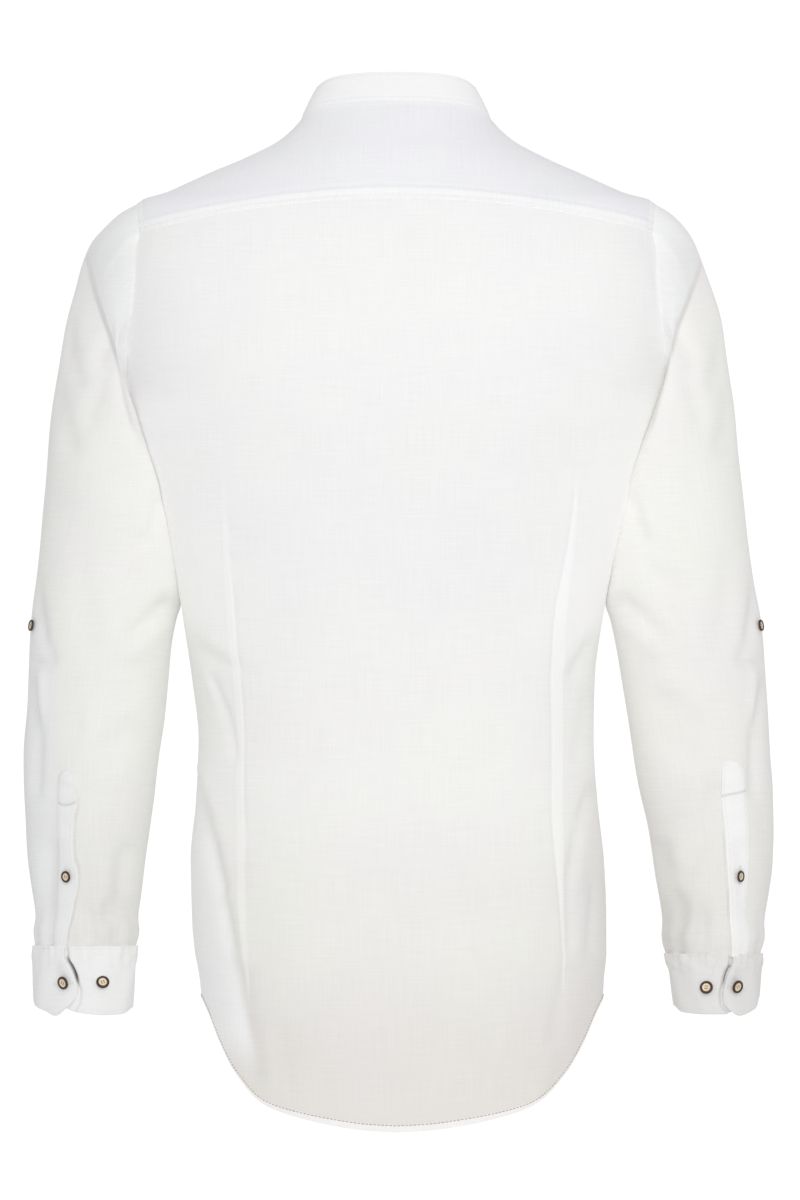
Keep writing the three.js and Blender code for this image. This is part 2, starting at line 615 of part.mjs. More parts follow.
// Cuff wound once round the wrist, its outer end lapped over the inner one.
function cuffGrid(side) {
  const { end, overlap } = CUFF_SIDES[side > 0 ? 'left' : 'right'];
  const columns = 34;
  const start = radians(end);
  const total = 2 * Math.PI + radians(overlap);
  const rows = Array.from({ length: CUFF.rows }, (_, r) => mix(CUFF.top, CUFF.bottom, r / (CUFF.rows - 1)));
  return rows.map((z, r) => Array.from({ length: columns + 1 }, (_, c) => {
    const run = c / columns * total;
    const angle = start - run;
    const grow = cuffGrow(run);
    const p = wristPoint(side, angle, z, grow);
    const corner = r === CUFF.rows - 1 && c === 0 ? 7 : 0;
    p.z += corner;
    const n = wristPoint(side, angle, z, 10).sub(wristPoint(side, angle, z, 0)).setZ(0).normalize();
    return { p, n };
  }));
}

// Collar stand along the neck, from its under end on the right front to its top end on the left.
// Its columns stand on those of the yoke and the fronts, the ones at its ends between them.
function collarGrid() {
  const lap = Math.asin(COLLAR.end / NECK.half) * 180 / Math.PI;
  const lapPart = [0, 0.3, 0.55, 0.8, 1];
  const sides = [...BACK_COLUMNS.filter(column => column.neck).map(column => column.neck),
    ...FRONT_COLUMNS.filter(column => column.neck > 118).map(column => column.neck), 180 - lap];
  const ahead = [...sides, ...lapPart.map(part => 180 + part * lap)];
  const angles = [...ahead.slice().reverse().map(angle => -angle), 0, ...ahead];
  const lean = radians(COLLAR.lean);
  const tip = (180 + lap);
  const foot = angle => {
    const past = (Math.abs(angle) - 180) / lap;
    if (past <= 0) return neckPoint(angle);
    return neckPoint(180).lerp(neckPoint(-Math.sign(angle) * (180 - lap)), past);
  };
  const inset = angle => (angle < 0 ? (STIFF_WALL + CUFF.gap) * ease((-angle - 150) / 17) : 0);
  return [0, 0.5, 1].map(level => angles.map(angle => {
    const base = foot(angle);
    const toEnd = (tip - Math.abs(angle)) * Math.PI / 180 * NECK.half;
    const within = Math.max(0, COLLAR.corner - toEnd);
    const short = COLLAR.corner - Math.sqrt(COLLAR.corner ** 2 - within ** 2);
    const tall = (COLLAR.height - short) * level;
    const out = vec(base.x / NECK.half, base.y / NECK.back, 0).normalize();
    const low = base.clone().add(vec(0, 0, NECK.rise)).addScaledVector(neckNormal(base), -inset(angle));
    const p = low.addScaledVector(out, -tall * Math.sin(lean)).add(vec(0, 0, tall * Math.cos(lean)));
    const across = out.clone().multiplyScalar(Math.cos(lean)).add(vec(0, 0, Math.sin(lean)));
    return { p, n: level === 0 ? neckNormal(base) : across, angle };
  }));
}

function button({ p, n }, clear = 0.3) {
  const { radius, thick, rim, dish, sides } = BUTTON;
  const profile = [
    [radius - 0.8, 0], [radius, 0.7], [radius - 0.3, thick - 0.2], [radius - rim, thick],
    [radius - rim - 1, thick - dish],
  ];
  const axis = n.clone().normalize();
  const across = vec(0, 0, 1).cross(axis).normalize();
  const up = axis.clone().cross(across);
  const foot = p.clone().addScaledVector(axis, clear);
  const points = profile.flatMap(([r, h]) => Array.from({ length: sides }, (_, i) => {
    const a = 2 * Math.PI * i / sides;
    const p = foot.clone().addScaledVector(axis, h);
    return p.addScaledVector(across, r * Math.cos(a)).addScaledVector(up, r * Math.sin(a));
  }));
  const index = [];
  const rings = profile.length;
  for (let k = 0; k < rings - 1; k += 1) {
    for (let i = 0; i < sides; i += 1) {
      const j = (i + 1) % sides;
      index.push(k * sides + i, k * sides + j, (k + 1) * sides + j);
      index.push(k * sides + i, (k + 1) * sides + j, (k + 1) * sides + i);
    }
  }
  const bottom = points.push(foot.clone()) - 1;
  const top = points.push(foot.clone().addScaledVector(axis, thick - dish)) - 1;
  for (let i = 0; i < sides; i += 1) {
    const j = (i + 1) % sides;
    index.push(bottom, j, i);
    index.push(top, (rings - 1) * sides + i, (rings - 1) * sides + j);
  }
  return solid(points, index);
}

const shirt = new THREE.Group();
shirt.name = 'shirt';

function add(name, geometry, material = LINEN) {
  const mesh = new THREE.Mesh(geometry, material);
  mesh.name = name;
  shirt.add(mesh);
}

add('back', shell(...backPanel()));
add('yoke', shell(...yoke()));
add('front_left', shell(...frontPanel(1)));
add('front_right', shell(...frontPanel(-1)));
add('front_placket', shell(...frontPlacket()));
add('collar', shell(...walled(collarGrid(), () => STIFF_WALL)));

const placketOuter = frontGrid(1).map(row => row.slice(-3).map(({ p, n }) => (
  { p: p.clone().addScaledVector(n, LIFT + BAND_WALL), n }
)));
FRONT_BUTTONS.forEach((z, i) => add(`button_front_${i + 1}`, button(gridPoint(placketOuter, z, 1)), HORN));
add('button_collar', button(collarGrid()[1].find(({ angle }) => angle === 180)), HORN);

for (const [name, side] of [['left', 1], ['right', -1]]) {
  const sleeve = sleeveGrid(side);
  const { marked } = sleeveAngles(side);
  add(`sleeve_${name}`, shell(...walled(sleeve, () => WALL), true));
  add(`cuff_${name}`, shell(...walled(cuffGrid(side), () => STIFF_WALL)));
  add(`sleeve_placket_${name}`, shell(...gauntlet(side)));
  const placket = gridPoint(sleeve, GAUNTLET.button, marked[1]);
  placket.p.addScaledVector(placket.n, LIFT + BAND_WALL);
  add(`button_placket_${name}`, button(placket), HORN);
  CUFF_SIDES[name].buttons.forEach((angle, k) => {
    const z = -670;
    const a = radians(angle);
    const run = radians(CUFF_SIDES[name].end) - a + (k === 0 ? 0 : 2 * Math.PI);
    const p = wristPoint(side, a, z, cuffGrow(run));
    const n = wristPoint(side, a, z, 10).sub(wristPoint(side, a, z, 0)).setZ(0).normalize();
    add(`button_cuff_${name}_${k + 1}`, button({ p, n }), HORN);
  });
  const ring = sleeve[ROLL_BUTTON.ring];
  const column = ring.reduce((best, cell, i) => (cell.p.x * side > ring[best].p.x * side ? i : best), 0);
  add(`button_rollup_${name}`, button(gridPoint(sleeve, ROLL_BUTTON.z, column)), HORN);
}

export default shirt;
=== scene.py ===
"""White linen shirt with a mandarin collar, filled out as if worn and seen from behind."""
import math

import bpy
import numpy as np
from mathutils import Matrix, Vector


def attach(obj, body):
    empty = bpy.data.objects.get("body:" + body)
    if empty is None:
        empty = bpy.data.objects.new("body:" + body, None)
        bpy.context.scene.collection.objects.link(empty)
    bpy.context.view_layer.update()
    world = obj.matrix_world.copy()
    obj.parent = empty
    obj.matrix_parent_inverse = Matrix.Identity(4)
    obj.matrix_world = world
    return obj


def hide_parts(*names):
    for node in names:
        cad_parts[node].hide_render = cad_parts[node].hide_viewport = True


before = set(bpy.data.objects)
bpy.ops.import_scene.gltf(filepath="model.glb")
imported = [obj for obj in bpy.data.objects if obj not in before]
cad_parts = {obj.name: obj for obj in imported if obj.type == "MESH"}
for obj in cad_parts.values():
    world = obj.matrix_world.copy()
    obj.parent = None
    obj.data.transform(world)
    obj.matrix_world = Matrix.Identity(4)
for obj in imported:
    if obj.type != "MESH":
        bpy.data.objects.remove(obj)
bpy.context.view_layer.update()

# Sizes in millimetres, as in the solids. The back faces +Y and the wearer's left is +X.
MM = 0.001
CLOTH = 0.7            # thickness that shows at the free edges
UNDERARM_Z = -250.0
LEFT_UNDERARM_OUT = 4.5     # how much further out than in the solids the left underarm point is shown
HEM_SIDE_Z = -683.0
BACK_TOP_Z = -86.0          # where the back yoke seam meets the armhole
FRONT_TOP_Z = -75.0         # where the front yoke seam meets the armhole
STRAIGHT_Z = -268.0         # below this height the columns of the body hang straight
BAND_HALF = 16.0
FRONT_SEAM_Y = -25.0
SHOULDER_X = 202.5
YOKE_HALF = 199.5           # half length of the back yoke seam
FRONT_TAIL = 0.84           # drop of the front tail as a share of the back one
HEM_STITCH = 0.92           # where the hem is stitched, as a share of its depth
HEM_WALL = 1.4
MAP_START = 400             # the middle of each cloth map, so that no thread lies below nought
WORD = {1: "left", -1: "right"}


def table(keys, rows):
    """A table of named columns."""
    return {key: np.array([row[i] for row in rows], float) for i, key in enumerate(keys)}


# Body form: half widths to the wearer's left and right, depths to the back and front, roundness.
BODY = table(("z", "left", "right", "back", "front", "power"), [
    (-800, 148, 156, 130, 134, 2.3), (-740, 150, 160, 129, 134, 2.3), (-693, 151, 161, 127, 134, 2.3),
    (-669, 153, 162, 125, 133, 2.3), (-646, 157, 164, 124, 133, 2.3), (-623, 159, 164, 122, 132, 2.3),
    (-576, 160, 162, 117, 131, 2.3), (-529, 156, 157, 112, 129, 2.3), (-482, 154, 154, 110, 128, 2.3),
    (-435, 159, 155, 111, 128, 2.3), (-388, 166, 161, 114, 130, 2.3), (-350, 172, 169, 118, 133, 2.3),
    (-326, 178.5, 174, 121, 135, 2.3), (-300, 185, 180.5, 124, 137, 2.3), (-271, 194, 188.5, 127, 138, 2.3),
    (-257, 199.5, 194.5, 129, 138, 2.3), (-250, 201.5, 197, 129.5, 138, 2.3),
    (-243, 204, 200, 130, 138, 2.35), (-222, 209.5, 208, 131, 136, 2.4), (-200, 213, 213, 131, 133, 2.4),
    (-178, 216, 216, 130, 128, 2.4), (-154, 217, 217, 126, 121, 2.4),
    (-131, 216, 216, 121, 112, 2.4), (-108, 214, 214, 114, 100, 2.4), (-86, 211, 211, 106, 82, 2.3),
    (-69, 206, 206, 99, 66, 2.2), (-61, 198, 198, 95, 59, 2.15), (-53, 179, 179, 91, 53, 2.1),
    (-45, 161, 161, 87, 48, 2.05), (-37, 143, 143, 83, 43, 2), (-30, 126, 126, 79, 38, 2),
    (-22, 109, 109, 74, 33, 2), (-14, 94, 94, 68, 27, 2), (-6, 83, 83, 62, 22, 2),
    (3, 74, 74, 55, 17, 2), (16, 69, 69, 44, 10, 2), (26, 64, 64, 38, 6, 2),
])
# Drop of the tail below the side seams, by distance from the centre as a share of the half width.
TAIL = table(("share", "drop"), [
    (0, 102), (0.16, 100.6), (0.31, 97.4), (0.45, 93), (0.62, 85.3), (0.7, 78.8), (0.83, 56), (0.91, 33),
    (0.97, 10), (1, 0),
])
# Distance of the armhole from the centre line, behind and in front.
ARMHOLE = table(("z", "back", "front"), [
    (-250, 197, 197), (-243, 199.5, 199), (-232, 203, 201), (-215, 206.5, 202), (-195, 209, 201),
    (-172, 209, 197.5), (-148, 205.5, 194), (-122, 203, 192.5), (-98, 202, 194), (-86, 199.5, 196),
    (-75, 200, 198.5),
])
# Columns of the back and yoke by turn: along the yoke seam, then their end on the neck or shoulder.
COLUMNS = table(("turn", "seam", "neck"), [
    (0, 0, 0), (0.1, 21, 19.6), (0.2, 42, 39.2), (0.3, 63, 58.8), (0.4, 83, 78.4), (0.475, 98, 98),
    (0.531, 110, 117.6), (0.587, 122, 0), (0.67, 139, 0), (0.76, 157, 0), (0.85, 175, 0), (0.93, 189, 0),
    (1, 199.5, 0),
])
NECK_TURN = 0.531      # the columns nearer the centre than this end on the neck
NECK_END = 117.6       # the angle where the front yoke seam meets the neck
# Ends of the yoke's and the fronts' columns on the shoulder and round the neck.
YOKE_OUT = table(("turn", "shoulder"), [
    (0.531, 64.7), (0.587, 85), (0.67, 108), (0.76, 132), (0.85, 157), (0.93, 180), (1, 198.5),
])
FRONT_END = table(("share", "shoulder"), [
    (0, 198.5), (0.11, 180), (0.22, 157), (0.34, 132), (0.46, 108), (0.58, 85), (0.69, 64.7),
])
FRONT_NECK_SHARE = 0.69     # a front's columns past this share end on the neck
FRONT_NECK = table(("share", "neck"), [(0.69, 117.6), (0.79, 134), (0.9, 150), (1, 167.34)])
NECK = {"half": 73.0, "back": 44.0, "front": 54.0}
COLLAR = {"height": 24.8, "lean": math.radians(27), "corner": 13.0, "rise": 0.4}

# Sleeve rings below the armhole: outer and inner point for each arm, their heights, the depth.
SLEEVE = table(("outerL", "outerR", "zOuter", "innerL", "innerR", "zInner", "middle", "half"), [
    (202.5, 202.5, -64, 197.2, 197.2, -250, -4, 52), (215, 214, -71, 197, 197, -254, -4, 56),
    (227, 225, -82, 193, 193, -259, -4, 58), (237, 233, -94, 188, 188, -265, -5, 60),
    (243, 239, -108, 182, 182, -273, -5, 61), (250, 247, -131, 176, 176, -283, -6, 62),
    (257, 253.5, -155, 171, 171, -295, -7, 63), (262, 258, -184, 167, 167, -308, -8, 63),
    (268, 263, -222, 163, 163, -325, -9, 62), (272, 267, -262, 160.5, 160, -345, -9, 61),
    (276, 272, -305, 163, 160, -366, -10, 59), (280.5, 278, -350, 171, 167, -388, -10, 58),
    (285, 285, -392, 175, 171.5, -410, -10, 57), (287, 287, -425, 177, 175.5, -435, -11, 56),
    (288.5, 290, -459, 180, 180, -462, -11, 55), (290, 293, -490, 184, 184.5, -490, -12, 54),
    (289.5, 295.5, -520, 187.5, 190, -520, -13, 52), (288, 295.5, -548, 192, 195.5, -548, -14, 50),
    (287, 294, -576, 196, 200, -576, -15, 47), (284.7, 290, -600, 199, 204, -600, -16, 44),
    (281.6, 285.5, -621, 202, 208, -621, -17, 41), (281.5, 284.5, -632, 202.5, 209.5, -632, -17, 39),
    (282.5, 285, -640, 202.5, 210.5, -640, -17, 38),
])
# How far each ring of the sleeve follows the armhole.
HOLD = table(("ring", "keep"), [
    (0, 1), (1, 0.9), (2, 0.75), (3, 0.58), (4, 0.4), (5, 0.25), (6, 0.1), (7, 0), (22, 0),
])
# The fold down from each sleeve head: where it runs and how far the cloth drops outside it.
HEAD_FOLD = table(("z", "left", "right", "drop"), [
    (-248, 201, 195, 0), (-232, 206, 200, 0), (-217, 210, 204, 0.4), (-201, 213, 208, 1.2),
    (-186, 216.5, 212, 2.6), (-170, 222, 216.5, 4.6), (-154, 227, 221.5, 6.4), (-134, 233.5, 229, 7.2),
    (-112, 239, 237, 5.5), (-97, 242, 242, 0),
])
CUFF_INNER_END = {1: -338.0, -1: -329.0}     # angle of the end under the lap, from the outer side of the arm
CUFF_TOP_Z = -637.6
WRIST_DROP = {1: 5.0, -1: 11.0}     # how much lower than in the solids the seam of each cuff is shown
# Outer and inner side of each wrist at the cuff's top and hem, and its half depth there.
WRIST = {
    1: {"outer": (282.5, 282.4), "inner": (202.5, 206.5)},
    -1: {"outer": (285.0, 282.6), "inner": (210.5, 218.2)},
}
WRIST_DEEP = (38.0, 36.5)
WRIST_Y = -17
PLACKET_TIP = {1: -505.0, -1: -498.0}
PLACKET_POINT_Z = -516.0    # the plackets narrow to their tips above this height
PLACKET_BUTTON_Z = -588.0
PLACKET_TABLE_TOP = -505.0
SLIT_ANGLE = 77.0           # where the sleeve slits lie, from the outer side of the arm to the back
# Edges of the sleeve plackets by height, as angles from the outer side of the arm to the back.
PLACKET_EDGES = {
    1: table(("z", "outer", "free"), [
        (-640, 50, 66), (-627, 52, 69), (-610, 55, 76), (-595, 58, 81), (-586, 59, 81.5), (-572, 60, 77),
        (-558, 61, 76), (-544, 61, 76), (-533, 61, 78.5), (-520, 61, 78.5), (-505, 61, 78),
    ]),
    -1: table(("z", "outer", "free"), [
        (-640, 43, 67), (-631, 44, 68), (-606, 48, 72), (-590, 51, 75), (-572, 53, 77), (-549, 54, 77.5),
        (-532, 54, 78), (-505, 54, 77),
    ]),
}

# Lower side zones of the back, from a soft fold line out to the side: left, then right.
SIDE_ZONES = table(("z", "left", "right"), [
    (-760, 98, 112), (-722, 110, 122), (-650, 127, 136), (-600, 135, 135.5), (-548, 146, 142),
    (-514, 158, 154), (-500, 170, 164),
])
# Folds seen from the back: ends, half width, depth (minus is a trough).
BACK_FOLDS = table(("x0", "z0", "x1", "z1", "wide", "deep"), [
    (158, -408, 132, -424, 6, -1.3), (132, -424, 112, -428, 5, -0.7), (150, -402, 126, -414, 7, 0.8),
    (151, -426, 138, -458, 3.5, 1.0), (147, -430, 131, -468, 4, -1.5), (131, -468, 125, -498, 4, -1.0),
    (160, -506, 145, -552, 6, -1.8), (145, -552, 134, -604, 6, -1.9), (134, -604, 126, -650, 6, -1.5),
    (126, -650, 108, -748, 8, -1.2), (150, -500, 129, -584, 9, 1.0), (129, -584, 118, -660, 8, 0.8),
    (-154, -402, -136, -434, 6, -1.4), (-148, -396, -126, -430, 7, 0.8), (-150, -444, -140, -500, 6, -0.9),
    (-154, -514, -142, -548, 5, -1.7), (-142, -548, -135, -600, 5, -1.8), (-135, -600, -136, -650, 5, -1.4),
    (-136, -650, -122, -722, 7, -1.2), (-146, -540, -140, -600, 6, 0.8), (-156, -590, -150, -650, 4, -1.0),
    (92, -700, 84, -752, 9, -0.6), (-60, -690, -72, -748, 10, -0.6),
])
# Inner edges of the dart bands by height, and how wide the bands are.
DARTS = table(("z", "left", "right", "wideL", "wideR"), [
    (-700, 114, 133, 0, 0), (-660, 115, 131, 3.5, 2.2), (-607, 115.8, 127, 6.5, 4.6),
    (-529, 118, 120.5, 6.2, 8.6), (-451, 120.5, 120.5, 5.8, 9), (-404, 124, 122, 6.4, 9.5),
    (-373, 125.5, 125.6, 6.6, 8.6), (-342, 127.5, 131.8, 6, 5.4), (-295, 131, 137.5, 3.6, 2.6),
    (-272, 133, 139.5, 0, 0),
])
RIGHT_SLEEVE_FOLDS = table(("x0", "z0", "x1", "z1", "wide", "deep"), [
    (194, -446, 240, -478, 13, -2.0), (200, -426, 246, -456, 12, 1.4), (252, -515, 222, -596, 9, -2.2),
    (240, -500, 214, -580, 10, 1.4), (214, -600, 246, -630, 8, -2.0), (262, -330, 250, -420, 9, -1.5),
    (200, -350, 232, -372, 10, -1.4),
])
LEFT_SLEEVE_FOLDS = table(("x0", "z0", "x1", "z1", "wide", "deep"), [
    (234, -500, 216, -566, 10, -1.6), (216, -566, 206, -620, 8, -1.8), (222, -606, 236, -632, 6, -1.6),
    (250, -330, 236, -420, 12, -1.3), (196, -440, 228, -452, 10, -1.3), (240, -448, 236, -520, 9, 1.0),
])
SLEEVE_FOLDS = table(("x0", "z0", "x1", "z1", "wide", "deep"), [
    (171, -372, 206, -404, 8, -3.6), (180, -386, 212, -420, 8, 2.2), (283, -358, 274, -409, 5, -2.6),
    (181, -290, 196, -332, 6, -2.0), (190, -300, 204, -350, 6, 1.4), (196, -320, 214, -392, 9, -1.6),
    (212, -150, 236, -196, 7, -1.6), (224, -188, 240, -240, 8, -1.4),
    (274, -409, 266, -421, 5, -2.2), (285, -420, 268, -421, 4, -2.4), (288, -437, 280, -473, 5, -2.6),
    (280, -473, 280, -528, 5, -2.4), (277, -424, 277, -468, 3, 1.6), (200, -470, 236, -500, 12, -1.8),
    (262, -150, 248, -210, 8, -2.0), (268, -200, 252, -262, 9, -2.0), (225, -612, 214, -636, 6, -1.8),
    (205, -560, 216, -620, 9, -2.4), (240, -608, 238, -636, 6, -1.6), (232, -606, 231, -636, 5, 1.4),
    (268, -560, 274, -620, 8, -2.2),
])


def curve(rows, at, key):
    """A smooth curve through two columns of a table that never overshoots them."""
    order = np.argsort(rows[at])
    xs = rows[at][order]
    ys = rows[key][order]
    steps = np.diff(ys) / np.diff(xs)
    slopes = np.concatenate(([steps[0]], np.zeros(len(xs) - 2), [steps[-1]]))
    product = steps[:-1] * steps[1:]
    total = steps[:-1] + steps[1:]
    slopes[1:-1] = np.where(product > 0, 2 * product / np.where(total == 0, 1, total), 0)

    def value(x):
        x = np.clip(np.asarray(x, float), xs[0], xs[-1])
        i = np.clip(np.searchsorted(xs, x, side="right") - 1, 0, len(xs) - 2)
        width = xs[i + 1] - xs[i]
        t = (x - xs[i]) / width
        return (ys[i] * (2 * t**3 - 3 * t**2 + 1) + ys[i + 1] * (3 * t**2 - 2 * t**3)
                + width * (slopes[i] * (t**3 - 2 * t**2 + t) + slopes[i + 1] * (t**3 - t**2)))

    return value


left_half = curve(BODY, "z", "left")
right_half = curve(BODY, "z", "right")
back_depth = curve(BODY, "z", "back")
front_depth = curve(BODY, "z", "front")
power = curve(BODY, "z", "power")
tail_drop = curve(TAIL, "share", "drop")
arm_back = curve(ARMHOLE, "z", "back")
arm_front = curve(ARMHOLE, "z", "front")
seam_at = curve(COLUMNS, "turn", "seam")
shoulder_at = curve(YOKE_OUT, "turn", "shoulder")
front_shoulder = curve(FRONT_END, "share", "shoulder")
front_neck = curve(FRONT_NECK, "share", "neck")
head_lines = {1: curve(HEAD_FOLD, "z", "left"), -1: curve(HEAD_FOLD, "z", "right")}
head_drop = curve(HEAD_FOLD, "z", "drop")
zone_left = curve(SIDE_ZONES, "z", "left")
zone_right = curve(SIDE_ZONES, "z", "right")
dart_left = curve(DARTS, "z", "left")
dart_right = curve(DARTS, "z", "right")
dart_wide_left = curve(DARTS, "z", "wideL")
dart_wide_right = curve(DARTS, "z", "wideR")


def half_width(side, z):
    return np.where(side > 0, left_half(z), right_half(z))


def depth_of(face, z):
    return np.where(face > 0, back_depth(z), front_depth(z))


def ease(t):
    s = np.clip(t, 0, 1)
    return s * s * (3 - 2 * s)


def mix(a, b, t):
    return a + (b - a) * t


def bell(off, wide):
    """1 on a line and soft to both sides of it."""
    return np.exp(-(off / wide) ** 2)


def unit(v):
    return v / np.maximum(np.linalg.norm(v, axis=-1, keepdims=True), 1e-9)


def reach(p):
    """How far out a point is: 1 on the body form, less inside it."""
    x, y, z = p[..., 0], p[..., 1], p[..., 2]
    n = power(z)
    return ((np.abs(x) / half_width(x, z)) ** n + (np.abs(y) / depth_of(y, z)) ** n)


def form_normal(p):
    step = 1.0
    parts = []
    for axis in range(3):
        shift = np.zeros(3)
        shift[axis] = step
        parts.append(reach(p + shift) - reach(p - shift))
    return unit(np.stack(parts, axis=-1))


def on_form(side, turn, z, face):
    k = 2 / power(z)
    x = side * half_width(side, z) * np.sin(turn) ** k
    y = face * depth_of(face, z) * np.maximum(0, np.cos(turn)) ** k
    return np.stack(np.broadcast_arrays(x, y, z), axis=-1)


def turn_of(x, z):
    share = np.minimum(1, np.abs(x) / half_width(x, z))
    return np.arcsin(np.minimum(1, share ** (power(z) / 2)))


def from_above(x, y):
    """Point of the shoulders above a place in plan."""
    x, y = np.broadcast_arrays(np.asarray(x, float), np.asarray(y, float))
    low = np.full(x.shape, -140.0)
    high = np.full(x.shape, 26.0)
    for _ in range(36):
        z = (low + high) / 2
        outside = reach(np.stack((x, y, z), axis=-1)) > 1
        high = np.where(outside, z, high)
        low = np.where(outside, low, z)
    return np.stack((x, y, (low + high) / 2), axis=-1)


def neck_point(degrees):
    a = np.radians(degrees)
    deep = np.where(np.cos(a) > 0, NECK["back"], NECK["front"])
    return from_above(NECK["half"] * np.sin(a), np.cos(a) * deep)


def neck_edge(x):
    """Point of the front neck edge at a distance from the centre line."""
    off = np.degrees(np.arcsin(np.abs(x) / NECK["half"]))
    return neck_point(np.where(x < 0, -1, 1) * (180 - off))


def folds(rows, x, z):
    total = np.zeros(np.broadcast(x, z).shape)
    for x0, z0, x1, z1, wide, deep in zip(*(rows[k] for k in ("x0", "z0", "x1", "z1", "wide", "deep"))):
        length = math.hypot(x1 - x0, z1 - z0)
        ax, az = (x1 - x0) / length, (z1 - z0) / length
        travel = (x - x0) * ax + (z - z0) * az
        off = (x - x0) * az - (z - z0) * ax
        ends = ease((travel + 6) / 16) * ease((length + 6 - travel) / 16)
        total = total + deep * ends * bell(off, wide)
    return total


def ripple(x, z, size, deep, turn=0.0):
    """Soft unevenness of worn cloth, a sum of slanted waves."""
    total = 0
    waves = ((1.0, 0.31, 0.4), (-0.44, 1.0, 2.1), (0.73, -0.82, 4.0), (0.2, 1.3, 5.2))
    for i, (a, b, phase) in enumerate(waves):
        total = total + np.sin((a * x + b * z) * 2 * math.pi / (size * (1 + 0.27 * i)) + phase + turn)
    return deep * total / 4


def row_length(p):
    """Distance along each row and each column of a grid of points."""
    rows, columns = p.shape[:2]
    across = np.concatenate((np.zeros((rows, 1)), np.linalg.norm(np.diff(p, axis=1), axis=2)), axis=1)
    down = np.concatenate((np.zeros((1, columns)), np.linalg.norm(np.diff(p, axis=0), axis=2)), axis=0)
    return np.cumsum(across, axis=1), np.cumsum(down, axis=0)


def to_sides(across):
    """Distance of each point of a grid from the nearer of its side edges."""
    return np.minimum(across, across[:, -1:] - across)


def panel_object(name, outer, normal, fields, material, closed=False, wall=CLOTH, grain=None):
    """A cloth piece from a grid of outer points: two skins, their rims, a cloth map and edge fields."""
    rows, columns = outer.shape[:2]
    facing = np.cross(outer[:-1, 1:] - outer[:-1, :-1], outer[1:, :-1] - outer[:-1, :-1])
    flip = np.sum(facing * normal[:-1, :-1]) < 0
    across, down = row_length(outer) if grain is None else grain
    wall = np.broadcast_to(wall, (rows, columns))[..., None]
    inner = outer - normal * wall
    points = np.concatenate((outer.reshape(-1, 3), inner.reshape(-1, 3))) * MM
    r = np.arange(rows - 1)[:, None]
    c = np.arange(columns if closed else columns - 1)[None, :]
    after = (c + 1) % columns
    count = rows * columns
    corners = (r * columns + c, r * columns + after, (r + 1) * columns + after, (r + 1) * columns + c)
    quad = np.stack(np.broadcast_arrays(*corners), axis=-1).reshape(-1, 4)
    back_quad = (quad + count)[:, ::-1]
    c = c.ravel()
    after = after.ravel()
    first = np.stack((c, c + count, after + count, after), axis=1)
    end = (rows - 1) * columns
    last = np.stack((c + end, after + end, after + end + count, c + end + count), axis=1)
    faces = [quad, back_quad, first, last]
    if not closed:
        r = r.ravel()
        low = r * columns
        faces.append(np.stack((low, low + columns, low + columns + count, low + count), axis=1))
        high = r * columns + columns - 1
        faces.append(np.stack((high, high + count, high + columns + count, high + columns), axis=1))
    faces = np.concatenate(faces)
    if flip:
        faces = faces[:, ::-1]
    mesh = bpy.data.meshes.new(name)
    mesh.from_pydata(points.tolist(), [], faces.tolist())
    loops = np.empty(len(mesh.loops), int)
    mesh.loops.foreach_get("vertex_index", loops)
    cloth_map = np.stack((across.ravel(), down.ravel()), axis=1) * MM
    cloth_map = np.concatenate((cloth_map, cloth_map))[loops]
    if closed:
        column = (loops % count) % columns
        corners = column.reshape(-1, 4)
        joins = np.repeat((corners.max(axis=1) == columns - 1) & (corners.min(axis=1) == 0), 4)
        around = across[:, -1] + np.linalg.norm(outer[:, 0] - outer[:, -1], axis=1)
        row = (loops % count) // columns
        cloth_map[:, 0] = np.where(joins & (column == 0), around[row] * MM, cloth_map[:, 0])
    uv = mesh.uv_layers.new(name="cloth")
    uv.data.foreach_set("uv", cloth_map.ravel())
    # Colour fields: layers whitens double cloth, dark is painted shade and painted light below nought, cool a
    # painted neutral tone.
    for key in ("layers", "dark", "cool"):
        data = np.broadcast_to(fields.get(key, 0.0), (rows, columns)).ravel().astype(np.float32)
        layer = mesh.attributes.new(key, "FLOAT", "POINT")
        layer.data.foreach_set("value", np.concatenate((data, data)))
    mesh.polygons.foreach_set("use_smooth", np.ones(len(mesh.polygons), bool))
    mesh.set_sharp_from_angle(angle=math.radians(70))
    mesh.materials.append(material)
    obj = bpy.data.objects.new(name, mesh)
    bpy.context.scene.collection.objects.link(obj)
    return obj


def body_grain(p, face):
    """Cloth map of the body: distance round it from the centre line, and height."""
    x, z = p[..., 0], p[..., 2]
    side = np.where(x < 0, -1, 1)
    turn = turn_of(x, z)
    before = on_form(side, turn * 0, z, face)
    total = np.zeros_like(z)
    steps = 20
    for k in range(1, steps + 1):
        after = on_form(side, turn * k / steps, z, face)
        total = total + np.linalg.norm(after - before, axis=-1)
        before = after
    return side * total + MAP_START, z + 0.0


def grid_normals(p, closed=False):
    """Outward normals of a grid of points, from its own shape."""
    if closed:
        wrapped = np.concatenate((p[:, -1:], p, p[:, :1]), axis=1)
        du = wrapped[:, 2:] - wrapped[:, :-2]
    else:
        du = np.gradient(p, axis=1)
    dv = np.gradient(p, axis=0)
    return unit(np.cross(du, dv))


def edge_turn(side, z, face):
    arm = np.where(face > 0, arm_back(z), arm_front(z))
    arm = arm + np.where(side > 0, LEFT_UNDERARM_OUT, 0) * ease((-205 - z) / 45)
    return np.where(z <= UNDERARM_Z + 0.01, math.pi / 2, turn_of(side * arm, z))


def hem_height(turn, face):
    share = np.sin(turn) ** (2 / 2.3)
    return HEM_SIDE_Z - tail_drop(share) * np.where(face > 0, 1, FRONT_TAIL)


def yoke_seam(x):
    z = -60 - 26 * (np.abs(x) / YOKE_HALF) ** 2
    return on_form(np.where(x < 0, -1, 1), turn_of(x, z), z, 1)


